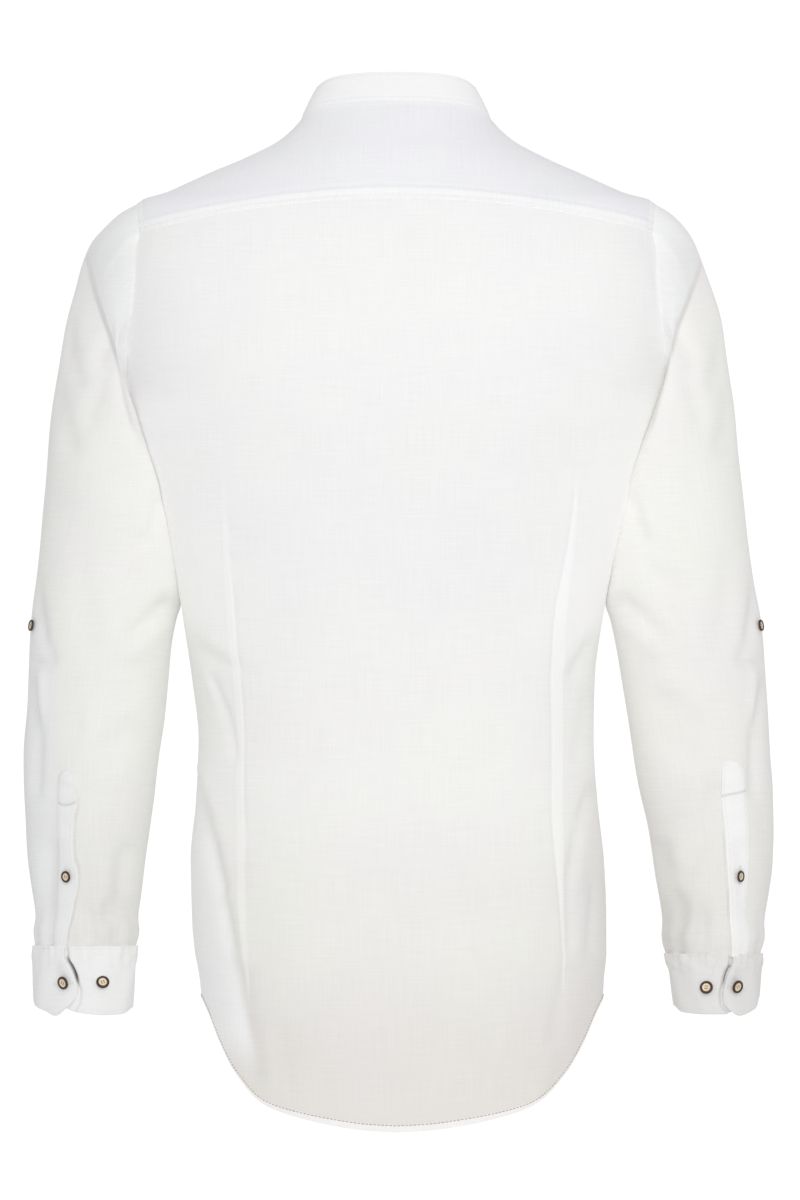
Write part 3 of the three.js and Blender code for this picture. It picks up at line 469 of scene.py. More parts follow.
def hem_share(x, from_hem):
    """Distance from the hem's edge as a share of the turned hem, which narrows towards the sides."""
    return from_hem / mix(5.6, 2.6, ease((np.abs(x) - 40) / 100))


def with_hem(relief, hem):
    """Adds the step and the stitched groove of the turned hem, by its share."""
    return relief + 0.5 * ease((1.1 - hem) / 0.2) - 0.35 * bell(hem - HEM_STITCH, 0.14)


def dart_shape(x, z):
    """Distance inside a back dart's band, from its stitched line outwards."""
    line = np.where(x > 0, dart_left(z), dart_right(z))
    return np.abs(x) - line, np.where(x > 0, dart_wide_left(z), dart_wide_right(z))


def back_surface(edge_z, share):
    """Points of the back panel: edge_z is the height at the side edge, share runs from -1 to 1."""
    side = np.where(share < 0, -1, 1)
    turn_share = np.abs(share)
    rise = (edge_z - HEM_SIDE_Z) / (BACK_TOP_Z - HEM_SIDE_Z)
    seam = yoke_seam(side * seam_at(turn_share))
    low = hem_height(turn_share * math.pi / 2, 1)
    z = mix(low, seam[..., 2], rise)
    limit = edge_turn(side, edge_z, 1)
    pull = ease((edge_z - STRAIGHT_Z) / (BACK_TOP_Z - STRAIGHT_Z))
    top_turn = edge_turn(side, np.full_like(edge_z, BACK_TOP_Z), 1)
    shift = turn_of(seam[..., 0], seam[..., 2]) - turn_share * top_turn
    turn = np.minimum(turn_share * limit + pull * shift, math.pi / 2)
    return on_form(side, turn, z, 1)


def spaced(*stops):
    """Evenly spaced steps between stops: value, then the number of steps to the next."""
    parts = []
    for (a, count), after in zip(stops[:-1], stops[1:]):
        parts.append(np.linspace(a, after[0], count, endpoint=False))
    return np.concatenate(parts + [[stops[-1][0]]])


stitch_lines = []


def stitch_row(p, normal, distance, inset, axis=0, beige=False):
    """Keeps the line of a grid at one distance from an edge, to be stitched later."""
    if axis == 1:
        p, normal, distance = p.transpose(1, 0, 2), normal.transpose(1, 0, 2), distance.T
    line = []
    for column in range(p.shape[1]):
        off = distance[:, column] - inset
        crossing = np.nonzero(off[:-1] * off[1:] <= 0)[0]
        if len(crossing) == 0:
            continue
        k = crossing[0]
        t = off[k] / (off[k] - off[k + 1] + 1e-9)
        place = mix(p[k, column], p[k + 1, column], t)
        line.append(np.concatenate((place, mix(normal[k, column], normal[k + 1, column], t))))
    stitch_lines.append((np.array(line), beige))


def stitch_sides(p, normal, across, *insets):
    """Rows of stitches at distances from both side edges of a grid."""
    for distance in (across, across[:, -1:] - across):
        for inset in insets:
            stitch_row(p, normal, distance, inset, axis=1)


# Heights of the rows at the side edge, from the hem up.
SIDE_Z = spaced((HEM_SIDE_Z, 12), (-671, 146), (UNDERARM_Z, 0))
BACK_ARM_Z = spaced((UNDERARM_Z, 54), (-90, 4), (BACK_TOP_Z, 0))
FRONT_ARM_Z = spaced((UNDERARM_Z, 44), (FRONT_TOP_Z, 0))
BACK_Z = np.concatenate((SIDE_Z, BACK_ARM_Z[1:]))
FRONT_Z = np.concatenate((SIDE_Z, FRONT_ARM_Z[1:]))
# Shares of the back's columns from the centre to the side, close together at the darts.
BACK_SHARES = spaced((0, 32), (0.5, 34), (0.63, 20), (0.955, 8), (1, 0))


def make_back(material):
    share = np.concatenate((-BACK_SHARES[:0:-1], BACK_SHARES))
    edge_z, s = np.meshgrid(BACK_Z, share, indexing="ij")
    base = back_surface(edge_z, s)
    normal = form_normal(base)
    x, z = base[..., 0], base[..., 2]
    across, from_hem = row_length(base)
    from_top = from_hem[-1:] - from_hem
    from_side = to_sides(across)
    off, wide = dart_shape(x, z)
    on_dart = ease(off / 2.2 + 0.5) * ease((wide - off) / 2.2 + 0.5) * ease(wide / 3)
    crease = bell(off + 0.6, 1.3) * ease(wide / 5)
    relief = 2.1 * folds(BACK_FOLDS, x, z) + ripple(x, z, 150, 2.0) + ripple(x, z, 62, 0.5, 1.0)
    relief = relief * ease(from_top / 30) * ease(from_side / 18)
    relief = relief + 0.35 * on_dart - 0.4 * crease
    arm = s * 0 + (edge_z > UNDERARM_Z - 4)
    hem = hem_share(x, from_hem)
    relief = with_hem(relief, hem)
    relief = relief - 0.3 * ease(1 - from_top / 2.5)
    p = base + normal * relief[..., None]
    # Painted shade and tone of the lower side zones: the right one is darkened, the left one takes the
    # painted neutral tone.
    zone = np.where(x > 0, x - zone_left(z), -x - zone_right(z))
    in_zone = ease(zone / 9 + 0.5) * ease((-498 - z) / 26)
    # Painted shade on the side edges low down, where the cloth turns away.
    rim = np.exp(-from_side / 4) * ease((-440 - z) / 60)
    # Painted light: near its sides between the arms the back is lightened against the shade there.
    painted_light_by_arm = ease((-200 - z) / 30) * ease((z + 425) / 50)
    near = np.where(x > 0, half_width(1, z), half_width(-1, z)) - np.abs(x)
    painted_light_by_arm = painted_light_by_arm * 0.095 * bell(near, 42)
    # dark also holds painted shade in each dart's crease.
    fields = {
        "layers": np.clip(on_dart * np.where(x > 0, 0.5, 0.9) + ease((1.1 - hem) / 0.15) * 0.9
                          + ease((3.4 - from_side) / 1.6) * 0.35 * arm, 0, 1),
        "dark": 0.03 * crease + np.where(x > 0, 0.0, 0.035) * in_zone + 0.035 * rim - painted_light_by_arm,
        "cool": in_zone * (x > 0) * ease((z + 745) / 40),
    }
    wall = np.where(hem < 1, HEM_WALL, CLOTH)
    stitch_row(p, normal, hem, HEM_STITCH, beige=True)
    return panel_object("back_panel", p, normal, fields, material, wall=wall, grain=body_grain(base, 1))


def front_seam_y(out):
    """Depth of the front yoke seam at a distance from the centre line."""
    return FRONT_SEAM_Y - 2 * (out - 65) / 134


def front_surface(side, edge_z, share):
    """Points of a front: share runs from 0 at the side to 1 at the placket's edge."""
    rise = (edge_z - HEM_SIDE_Z) / (FRONT_TOP_Z - HEM_SIDE_Z)
    top = np.array(FRONT_TOP_Z)
    corner = on_form(side, edge_turn(side, top, -1), top, -1)
    out = front_shoulder(share)
    y = front_seam_y(out)
    y = mix(y, corner[1], ease(1 - share / 0.11))
    shoulder = from_above(side * out, y)
    neck = neck_point(side * front_neck(share))
    end = np.where((share > FRONT_NECK_SHARE)[..., None], neck, shoulder)
    low = hem_height((1 - share) * math.pi / 2, -1)
    z = mix(low, end[..., 2], rise)
    inner = neck_edge(np.full_like(share, side * BAND_HALF))
    inner_z = mix(low, inner[..., 2], rise)
    inner_turn = turn_of(np.full_like(inner_z, side * BAND_HALF), inner_z)
    limit = edge_turn(side, edge_z, -1)
    straight = mix(limit, inner_turn, share)
    top_turn = edge_turn(side, np.full_like(edge_z, FRONT_TOP_Z), -1)
    top_straight = mix(top_turn, turn_of(inner[..., 0], inner[..., 2]), share)
    pull = ease((edge_z - STRAIGHT_Z) / (FRONT_TOP_Z - STRAIGHT_Z))
    turn = np.minimum(straight + pull * (turn_of(end[..., 0], end[..., 2]) - top_straight), math.pi / 2)
    return on_form(side, turn, z, -1)


def band_surface(x, edge_z):
    """Points of the front near the centre line."""
    rise = (edge_z - HEM_SIDE_Z) / (FRONT_TOP_Z - HEM_SIDE_Z)
    end = neck_edge(x)
    z = mix(HEM_SIDE_Z - tail_drop(np.abs(x) / 152) * FRONT_TAIL, end[..., 2], rise)
    return on_form(np.where(x < 0, -1, 1), turn_of(x, z), z, -1)


def front_base(side):
    share = np.concatenate((np.linspace(0, FRONT_NECK_SHARE, 42), np.linspace(FRONT_NECK_SHARE, 1, 15)[1:]))
    edge_z, s = np.meshgrid(FRONT_Z, share, indexing="ij")
    panel = front_surface(side, edge_z, s)
    xs = side * np.linspace(BAND_HALF, -BAND_HALF, 13)[1:]
    band_z, x = np.meshgrid(FRONT_Z, xs, indexing="ij")
    return np.concatenate((panel, band_surface(x, band_z)), axis=1)


FRONT_FOLDS = table(("x0", "z0", "x1", "z1", "wide", "deep"), [
    (150, -405, 96, -432, 9, -2.4), (154, -505, 128, -590, 8, -3.0), (-152, -410, -100, -440, 9, -2.4),
    (-154, -508, -130, -588, 8, -2.6), (186, -160, 120, -205, 12, -2.4), (-186, -160, -118, -208, 12, -2.4),
    (60, -60, 22, -150, 11, -1.6), (-60, -60, -24, -152, 11, -1.6), (130, -230, 60, -262, 14, -1.6),
    (-132, -232, -62, -268, 14, -1.6), (120, -640, 108, -720, 10, 1.6), (-118, -640, -104, -720, 10, 1.6),
])


def make_front(side, material):
    base = front_base(side)
    normal = form_normal(base)
    x, z = base[..., 0], base[..., 2]
    across, from_hem = row_length(base)
    from_top = from_hem[-1:] - from_hem
    relief = folds(FRONT_FOLDS, x, z) + ripple(x, z, 140, 1.2, 1.7 * side) + ripple(x, z, 58, 0.35, side)
    relief = relief * ease(from_top / 30) * ease(across / 18) * ease((np.abs(x) - BAND_HALF - 4) / 26)
    hem = hem_share(x, from_hem)
    relief = with_hem(relief, hem)
    if side < 0:
        relief = relief - 2.9 * ease((x + 44) / 24)
    p = base + normal * relief[..., None]
    fields = {
        "layers": np.clip(ease((1.1 - hem) / 0.15) * 0.9 + ease((7 - across) / 1.2) * 0.7
                          + ease((BAND_HALF + 10 - np.abs(x)) / 2) * 0.5, 0, 1),
    }
    wall = np.where(hem < 1, HEM_WALL, CLOTH)
    stitch_row(p, normal, hem, HEM_STITCH, beige=True)
    name = f"front_{WORD[side]}_panel"
    return panel_object(name, p, normal, fields, material, wall=wall, grain=body_grain(base, -1))


def placket_surface():
    xs = np.linspace(BAND_HALF, -BAND_HALF, 21)
    edge_z, x = np.meshgrid(FRONT_Z, xs, indexing="ij")
    p = band_surface(x, edge_z)
    return p, form_normal(p), x


FRONT_BUTTONS = (-118, -205, -292, -379, -466, -553, -640)


def make_placket(material):
    base, normal, x = placket_surface()
    across, down = row_length(base)
    from_edge = to_sides(across)
    pucker = sum(0.5 * bell(base[..., 2] - z, 9) for z in FRONT_BUTTONS)
    relief = 1.7 + 0.25 * np.sin(down / 11.3) * np.sin(down / 37) - pucker * bell(x, 9)
    relief = relief - 0.35 * bell(from_edge - 5, 1.0) - 0.5 * ease(1 - from_edge / 1.2)
    p = base + normal * relief[..., None]
    fields = {"layers": np.ones_like(x)}
    stitch_sides(p, normal, across, 5.0)
    return panel_object("placket_band", p, normal, fields, material, wall=1.0)


def yoke_surface(share, turn_share):
    """Points of the yoke: share 1 at the back seam to 0 at the front, turn share -1 to 1."""
    side = np.where(turn_share < 0, -1, 1)
    t = np.abs(turn_share)
    low = yoke_seam(side * seam_at(t))
    neck_degrees = curve(table(("turn", "neck"), [
        (0, 0), (0.1, 19.6), (0.2, 39.2), (0.3, 58.8), (0.4, 78.4), (0.475, 98), (NECK_TURN, NECK_END),
    ]), "turn", "neck")
    neck = neck_point(side * neck_degrees(t))
    top = np.array(FRONT_TOP_Z)
    corner = on_form(1, edge_turn(1, top, -1), top, -1)
    out = shoulder_at(t)
    y = front_seam_y(out)
    y = mix(y, corner[1], ease((t - 0.93) / 0.07))
    shoulder = from_above(side * out, y)
    high = np.where((t > NECK_TURN)[..., None], shoulder, neck)
    yy = mix(high[..., 1], low[..., 1], share)
    round_over = np.where(yy > 0, 1 - (yy / low[..., 1]) ** 2,
                          1 - (yy / np.where(high[..., 1] < 0, high[..., 1], -1)) ** 2)
    weight = np.clip((t - 0.76) / 0.24, 0, 1) ** 1.5
    xx = mix(high[..., 0], low[..., 0], share) + side * weight * round_over * (SHOULDER_X - 199)
    above = from_above(xx, yy)
    return np.where((share == 1)[..., None], low, np.where((share == 0)[..., None], high, above))


def yoke_grid():
    shares = 1 - spaced((0, 20), (0.16, 34), (1, 0))
    half = spaced((0, 56), (0.93, 16), (1, 0))
    turns = np.concatenate((-half[:0:-1], half))
    return yoke_surface(*np.meshgrid(shares, turns, indexing="ij"))


def make_yoke(material):
    base = yoke_grid()
    normal = form_normal(base)
    across, down = row_length(base)
    from_side = to_sides(across)
    from_top = down[-1:] - down
    relief = 0.45 * ease((11 - down) / 4) - 0.4 * bell(down - 10.5, 1.4)
    relief = relief - 2.2 * ease((np.abs(base[..., 0]) - 66) / 30) * ease((200 - np.abs(base[..., 0])) / 24) \
        * ease(1 - np.abs(base[..., 1] + 5) / 70)
    relief = relief - 0.3 * bell(down - 2.2, 0.7)
    relief = relief + (ripple(base[..., 0], base[..., 1] * 1.5, 120, 0.9) * ease((down - 12) / 20)
                       * ease(from_side / 15) * ease(from_top / 12))
    p = base + normal * relief[..., None]
    low = unit(base[0] - base[1])
    p[0] = p[0] + low * 0.6
    # dark: painted shadow line along the lower edge, where the yoke lies over the back.
    fields = {"layers": np.clip(ease((9 - down) / 1.2) + ease((7 - from_side) / 1.2) * 0.8
                                + ease((5 - from_top) / 2) * 0.6, 0, 1),
              "dark": 0.035 * bell(down - 0.8, 0.7)}
    stitch_row(p, normal, down, 2.2)
    stitch_row(p, normal, down, 7.6)
    stitch_row(p, normal, from_top, 2.0)
    stitch_sides(p, normal, across, 1.8, 7.0)
    middle = across[:, across.shape[1] // 2][:, None]
    return panel_object("yoke_panel", p, normal, fields, material, wall=0.9,
                        grain=(across - middle + MAP_START, down))


def collar_angles():
    lap = math.degrees(math.asin(BAND_HALF / NECK["half"]))
    ahead = np.concatenate((np.linspace(0, 180, 73), 180 + lap * np.linspace(0, 1, 13)[1:]))
    return np.concatenate((-ahead[::-1], ahead[1:])), lap


def collar_surface(level, angle, lap):
    past = np.clip((np.abs(angle) - 180) / lap, 0, None)
    centre = neck_point(np.full_like(angle, 180.0))
    far = neck_point(-np.sign(angle) * (180 - lap))
    base = np.where((past > 0)[..., None], mix(centre, far, past[..., None]), neck_point(angle))
    out = base * np.array([1 / NECK["half"], 1 / NECK["back"], 0])
    out = unit(out)
    slant = unit(out + np.array([0, 0, 0.5]))
    inset = np.where(angle < 0, 2.6 * ease((-angle - 150) / 17), 0)
    to_end = (180 + lap - np.abs(angle)) * math.pi / 180 * NECK["half"]
    within = np.clip(COLLAR["corner"] - to_end, 0, None)
    short = COLLAR["corner"] - np.sqrt(COLLAR["corner"] ** 2 - within ** 2)
    tall = (COLLAR["height"] - short) * level
    foot = base + np.array([0, 0, COLLAR["rise"]]) - slant * inset[..., None]
    up = np.stack((-out[..., 0] * math.sin(COLLAR["lean"]), -out[..., 1] * math.sin(COLLAR["lean"]),
                   np.full_like(tall, math.cos(COLLAR["lean"]))), axis=-1)
    normal = np.stack((out[..., 0] * math.cos(COLLAR["lean"]), out[..., 1] * math.cos(COLLAR["lean"]),
                       np.full_like(tall, math.sin(COLLAR["lean"]))), axis=-1)
    return foot + up * tall[..., None], unit(normal)


def make_collar(material):
    angles, lap = collar_angles()
    levels = np.linspace(0, 1, 19)
    level, angle = np.meshgrid(levels, angles, indexing="ij")
    base, normal = collar_surface(level, angle, lap)
    across, down = row_length(base)
    height = down[-1:]
    edge = np.minimum(np.minimum(down, height - down), to_sides(across))
    relief = -0.35 * ease(1 - edge / 1.5) - 0.25 * bell(edge - 2.6, 0.6)
    relief = relief + 0.25 * np.sin(across / 9.0) * ease(down / 10) * ease((height - down) / 8)
    p = base + normal * relief[..., None]
    p[0] = p[0] - unit(base[1] - base[0]) * 0.6
    stitch_row(p, normal, down, 2.6)
    stitch_row(p, normal, height - down, 2.6)
    fields = {"layers": np.ones_like(level)}
    return panel_object("collar_band", p, normal, fields, material, wall=1.8)


def armhole_loop(side):
    """The armhole from the underarm up the back, over the shoulder and down the front."""
    z = BACK_ARM_Z
    back = on_form(side, edge_turn(side, z, 1), z, 1)
    shares = np.linspace(1, 0, 24)[1:-1]
    over = yoke_surface(shares, np.full_like(shares, float(side)))
    z = FRONT_ARM_Z[::-1]
    front = on_form(side, edge_turn(side, z, -1), z, -1)[:-1]
    loop = np.concatenate((back, over, front))
    top = np.arctan2(loop[:, 1] / 52, (loop[:, 2] + 157) / 93)
    top[0] = math.pi
    return loop, np.where(top > math.pi - 0.001, math.pi, top)


def gathered(top):
    """Angles of the sleeve's columns low down, close together at the placket's free edge."""
    angle = np.linspace(math.pi, -math.pi, 2001)
    close = math.radians(SLIT_ANGLE)
    dense = 1 + 5.5 * bell(angle - close, 0.2)
    way = np.cumsum(dense)
    way = (way - way[0]) / (way[-1] - way[0]) * (1 - 1 / len(top))
    return np.interp(np.arange(len(top)) / len(top), way, angle)


SLEEVE_RINGS = np.concatenate((np.linspace(0, 6, 66), np.linspace(6, 22, 118)[1:]))


def sleeve_surface(side):
    """Rows of points down the sleeve, without its folds, and the angle of each column."""
    loop, top = armhole_loop(side)
    rows = dict(SLEEVE, ring=np.arange(len(SLEEVE["zOuter"]), dtype=float))
    name = "L" if side > 0 else "R"
    t = SLEEVE_RINGS[:, None]
    outer, z_outer = curve(rows, "ring", "outer" + name)(t), curve(rows, "ring", "zOuter")(t)
    inner, z_inner = curve(rows, "ring", "inner" + name)(t), curve(rows, "ring", "zInner")(t)
    middle, deep = curve(rows, "ring", "middle")(t), curve(rows, "ring", "half")(t)
    keep = curve(HOLD, "ring", "keep")(t)

    def ring(angle, o, i, zo, zi, mid, half):
        cos = np.cos(angle)
        x = (o + i) / 2 + cos * (o - i) / 2
        z = (zo + zi) / 2 + cos * (zo - zi) / 2
        return np.stack(np.broadcast_arrays(side * x, mid + half * np.sin(angle), z), axis=-1)

    first_row = [SLEEVE[key][0] for key in ("outerL", "innerL", "zOuter", "zInner", "middle", "half")]
    first = ring(top[None, :], *first_row)
    held = (loop[None] - first) * keep[..., None]
    angle = top[None, :] + (gathered(top) - top)[None, :] * ease((t - 9) / 6)
    return ring(angle, outer, inner, z_outer, z_inner, middle, deep) + held, angle


def placket_edges(side):
    rows = PLACKET_EDGES[side]
    return curve(rows, "z", "outer"), curve(rows, "z", "free")


def beside_body(p, side, share):
    """Moves points of a sleeve that would lie in the body out against its side."""
    x, y, z = p[..., 0] * side, p[..., 1], p[..., 2]
    inward = np.clip(1 - (np.abs(y) / depth_of(y, z)) ** power(z), 0, 1)
    wall = half_width(side, z) * inward ** (1 / power(z)) + 0.2
    gap = x - wall
    soft = 2.5
    kept = np.where(gap > soft, gap, np.where(gap < -soft, 0, (gap + soft) ** 2 / (4 * soft)))
    x = mix(x, wall + kept, share)
    return np.stack((x * side, y, z), axis=-1)


def sleeve_with_folds(side):
    base, angle = sleeve_surface(side)
    normal = grid_normals(base, closed=True) * side
    x, z = base[..., 0] * side, base[..., 2]
    t = SLEEVE_RINGS[:, None]
    seen = np.maximum(0, normal[..., 1])
    drop = head_drop(z) * ease((x - head_lines[side](z)) / 3.4 + 0.5) * ease(seen * 2.2) * ease(t / 0.6)
    own = folds(LEFT_SLEEVE_FOLDS if side > 0 else RIGHT_SLEEVE_FOLDS, x, z)
    relief = (1.7 * folds(SLEEVE_FOLDS, x, z) + 1.4 * own) * ease(seen * 2.5) * ease((t - 2) / 2)
    hidden = folds(SLEEVE_FOLDS, x + 6, z + 8) * ease(-normal[..., 1] * 2.5) * ease((t - 2) / 2)
    pleats = np.sin(angle * 13 + 0.6 * side) * 0.8 * ease((z + 672) / 32) * ease((-604 - z) / 30)
    blouse = 1.8 * bell(z + 627, 7) - 0.9 * ease((-632 - z) / 6)
    low = t > 15
    sag = ripple(x + base[..., 1], z, 120, 1.6, 2.0 * side) + ripple(x - base[..., 1], z, 54, 0.5, side)
    relief = relief + 0.8 * hidden + (pleats + blouse) * low
    relief = relief + sag * ease((t - 1) / 3) * ease((22 - t) / 1.5)
    free = placket_edges(side)[1]
    slit_off = (np.degrees(angle) - free(z) - 1.5) / 1.2
    relief = relief - 1.2 * np.exp(-slit_off**2) * ease((-522 - z) / 10) * low
    p = base + normal * relief[..., None]
    p[..., 1] -= drop
    p = beside_body(p, side, ease((t - 0.4) / 1.5) * (t < 14))
    return p, grid_normals(p, closed=True) * side, angle


def lowered(p, side):
    """Moves the seam between sleeve and cuff down, with what lies near it."""
    z = p[..., 2]
    drop = WRIST_DROP[side] * ease((-598 - z) / 40) * ease((z + 668) / 28)
    return np.concatenate((p[..., :2], (z - drop)[..., None]), axis=-1)


def make_sleeve(side, material):
    p, normal, angle = sleeve_with_folds(side)
    across, down = row_length(p)
    under = to_sides(across)
    band = ease((4.2 - down) / 1.4) * 0.35
    x, z = p[..., 0] * side, p[..., 2]
    behind_arm = ease(normal[..., 1] * 2.2)
    off = x - head_lines[side](z)
    head = ease((z + 226) / 24)
    # Painted shade: a thin dark line along each head fold and a shaded cap above it; the cap also takes the
    # painted neutral tone.
    above_fold = ease(0.5 - off / 3.0) * behind_arm
    fold_line = bell(off - 0.6, 1.7) * ease((z + 246) / 14) * ease((-96 - z) / 12) * behind_arm
    cap = above_fold * ease((z + 262) / 20) * ease((-80 - z) / 30)
    # Painted shade beside the body, above the cuff and on the outer strip of the left sleeve, which also
    # takes the painted neutral tone.
    by_body = np.exp(-np.maximum(x - half_width(side, z) - 1, 0) / 5)
    by_body = by_body * ease((z + 400) / 60) * ease((-215 - z) / 30)
    outer_strip = ease((x - 262) / 10) * ease((-360 - z) / 40) * (side > 0)
    above_cuff = ease((-588 - z) / 34) * np.where(side > 0, 0.4, 1.0) * ease((252 - x) / 30)
    shaded = (0.085 * above_cuff + 0.01 * by_body + 0.025 * outer_strip) * behind_arm
    fields = {
        "layers": np.clip(band + ease((4 - under) / 1) * 0.5, 0, 1),
        "dark": 0.15 * fold_line + 0.06 * cap + shaded,
        "cool": np.clip(above_fold * head + outer_strip * behind_arm, 0, 1),
    }
    name = f"sleeve_{WORD[side]}_cloth"
    behind = np.argmin(np.abs(angle[-1] - math.pi / 2))
    grain = (across - across[:, behind][:, None] + MAP_START, p[..., 2] + 0.0)
    cloth = panel_object(name, lowered(p, side), normal, fields, material, closed=True, grain=grain)
    return cloth, (p, normal, angle)


def sleeve_line(sleeve, z, degrees):
    """Points and normals of a sleeve at one height, at angles round it."""
    p, normal, angle = sleeve
    found = []
    for column in range(p.shape[1]):
        way = np.maximum.accumulate(-p[:, column, 2])
        values = np.concatenate((p[:, column], normal[:, column], angle[:, column, None]), axis=1)
        found.append([np.interp(-z, way, values[:, k]) for k in range(7)])
    found = np.array(found)
    found = found[np.argsort(found[:, 6])]
    points = [np.interp(np.radians(degrees), found[:, 6], found[:, k]) for k in range(6)]
    points = np.stack(points, axis=-1)
    return points[..., :3], unit(points[..., 3:])


def make_sleeve_placket(side, sleeve, material):
    outer, free = placket_edges(side)
    tip = PLACKET_TIP[side]
    levels = spaced((tip, 12), (PLACKET_POINT_Z, 26), (-536, 42), (-641, 0))
    shares = spaced((0, 4), (0.12, 14), (0.85, 6), (1, 0))
    rows, ways = [], []
    for z in levels:
        top_share = min(max((z - PLACKET_POINT_Z) / (tip - PLACKET_POINT_Z), 0), 1)
        low, high = outer(min(z, PLACKET_TABLE_TOP)), free(min(z, PLACKET_TABLE_TOP))
        middle = (low + high) / 2
        narrow = 0.12 + 0.88 * math.sqrt(1 - top_share**3)
        degrees = mix(middle + (low - middle) * narrow, middle + (high - middle) * narrow, shares)
        p, n = sleeve_line(sleeve, z, degrees)
        rows.append(p)
        ways.append(n)
    base, normal = np.array(rows), np.array(ways)
    across = row_length(base)[0]
    z = base[..., 2]
    from_edge = to_sides(across)
    share = across / across[:, -1:]
    lift = 1.4 + 0.6 * ease((share - 0.55) / 0.45) * (0.55 + 0.45 * np.sin(z / 7.1 + side))
    lift = lift - 0.8 * ease(1 - share / 0.25)
    lift = lift + 1.5 * bell(z + 516, 10) * np.sin(share * math.pi)
    rough = 1.5 if side > 0 else 0.7
    tip_crumple = np.sin(z / 2.4 + 2 * share)
    lift = lift + rough * 0.6 * tip_crumple * bell(z + 517, 9) * np.sin(share * math.pi)
    lift = lift + rough * 0.45 * np.sin(z / 3.1) * bell(z + 545, 22) * ease((share - 0.2) / 0.5)
    lift = lift - 0.5 * bell(z - PLACKET_BUTTON_Z, 6) * bell(share - 0.5, 0.3)
    cross = -530 - 2.5 * np.sin(share * math.pi) if side > 0 else -521 - 4.5 * share
    lift = lift - 0.5 * bell(z - cross, 1.2)
    lift = lift - 0.3 * bell(from_edge - 1.8, 0.7) - 0.4 * ease(1 - from_edge / 1.0)
    p = lowered(base + normal * lift[..., None], side)
    stitch_sides(p, normal, across, 1.8)
    stitch_row(p, normal, cross - z, 0.0)
    # dark: painted shade along the groove of the stitched cross line.
    fields = {"layers": np.ones_like(z), "dark": 0.24 * bell(z - cross, 0.9)}
    return panel_object(f"sleeve_placket_{WORD[side]}_band", p, normal, fields, material, wall=1.1)


def wrist_point(side, angle, z, grow):
    """Ring of the wrist at a height, grown outwards by a distance."""
    drop = np.clip((-640.4 - z) / 51.6, -0.1, 1.1)
    outer = mix(*WRIST[side]["outer"], drop) + grow
    inner = mix(*WRIST[side]["inner"], drop) - grow
    deep = mix(*WRIST_DEEP, drop) + grow + 0.6 * np.sin(np.clip(drop, 0, 1) * math.pi)
    x = (outer + inner) / 2 + np.cos(angle) * (outer - inner) / 2
    p = np.stack(np.broadcast_arrays(side * x, WRIST_Y + deep * np.sin(angle), z), axis=-1)
    ahead = np.stack(np.broadcast_arrays(side * np.cos(angle) / (outer - inner) * 2, np.sin(angle) / deep,
                                         angle * 0), axis=-1)
    return p, unit(ahead)


# Free end of each cuff, as angles from the outer side of the arm, from its top down to its hem.
CUFF_END = {
    1: table(("share", "degrees"), [
        (0, 66), (0.2, 68), (0.32, 72.8), (0.5, 78.6), (0.6, 81), (0.72, 84), (0.88, 82.5), (1, 77),
    ]),
    -1: table(("share", "degrees"), [
        (0, 66), (0.2, 68.6), (0.4, 73.5), (0.6, 78.6), (0.75, 81.9), (0.86, 81.4), (0.95, 77), (1, 71),
    ]),
}
# Lower edge of each cuff by the angle run from its free end.
CUFF_BOTTOM = {
    1: table(("run", "z"), [
        (0, -688), (6, -691), (20, -697), (36, -693.5), (63, -689), (79, -686.5), (180, -689), (259, -691),
        (298, -696), (321, -696.5), (355, -694), (372, -690.5), (450, -689),
    ]),
    -1: table(("run", "z"), [
        (0, -693.5), (13, -697), (41, -692.6), (72, -684), (180, -688), (252, -689.5), (285, -694.2),
        (324, -695.8), (350, -695.8), (372, -692), (450, -689),
    ]),
}
# The slit beside the free end: where it lies in the run, its half width in degrees, its depth.
CUFF_SLIT = {1: (357.6, 1.9, 8.5), -1: (358.6, 0.85, 5.5)}


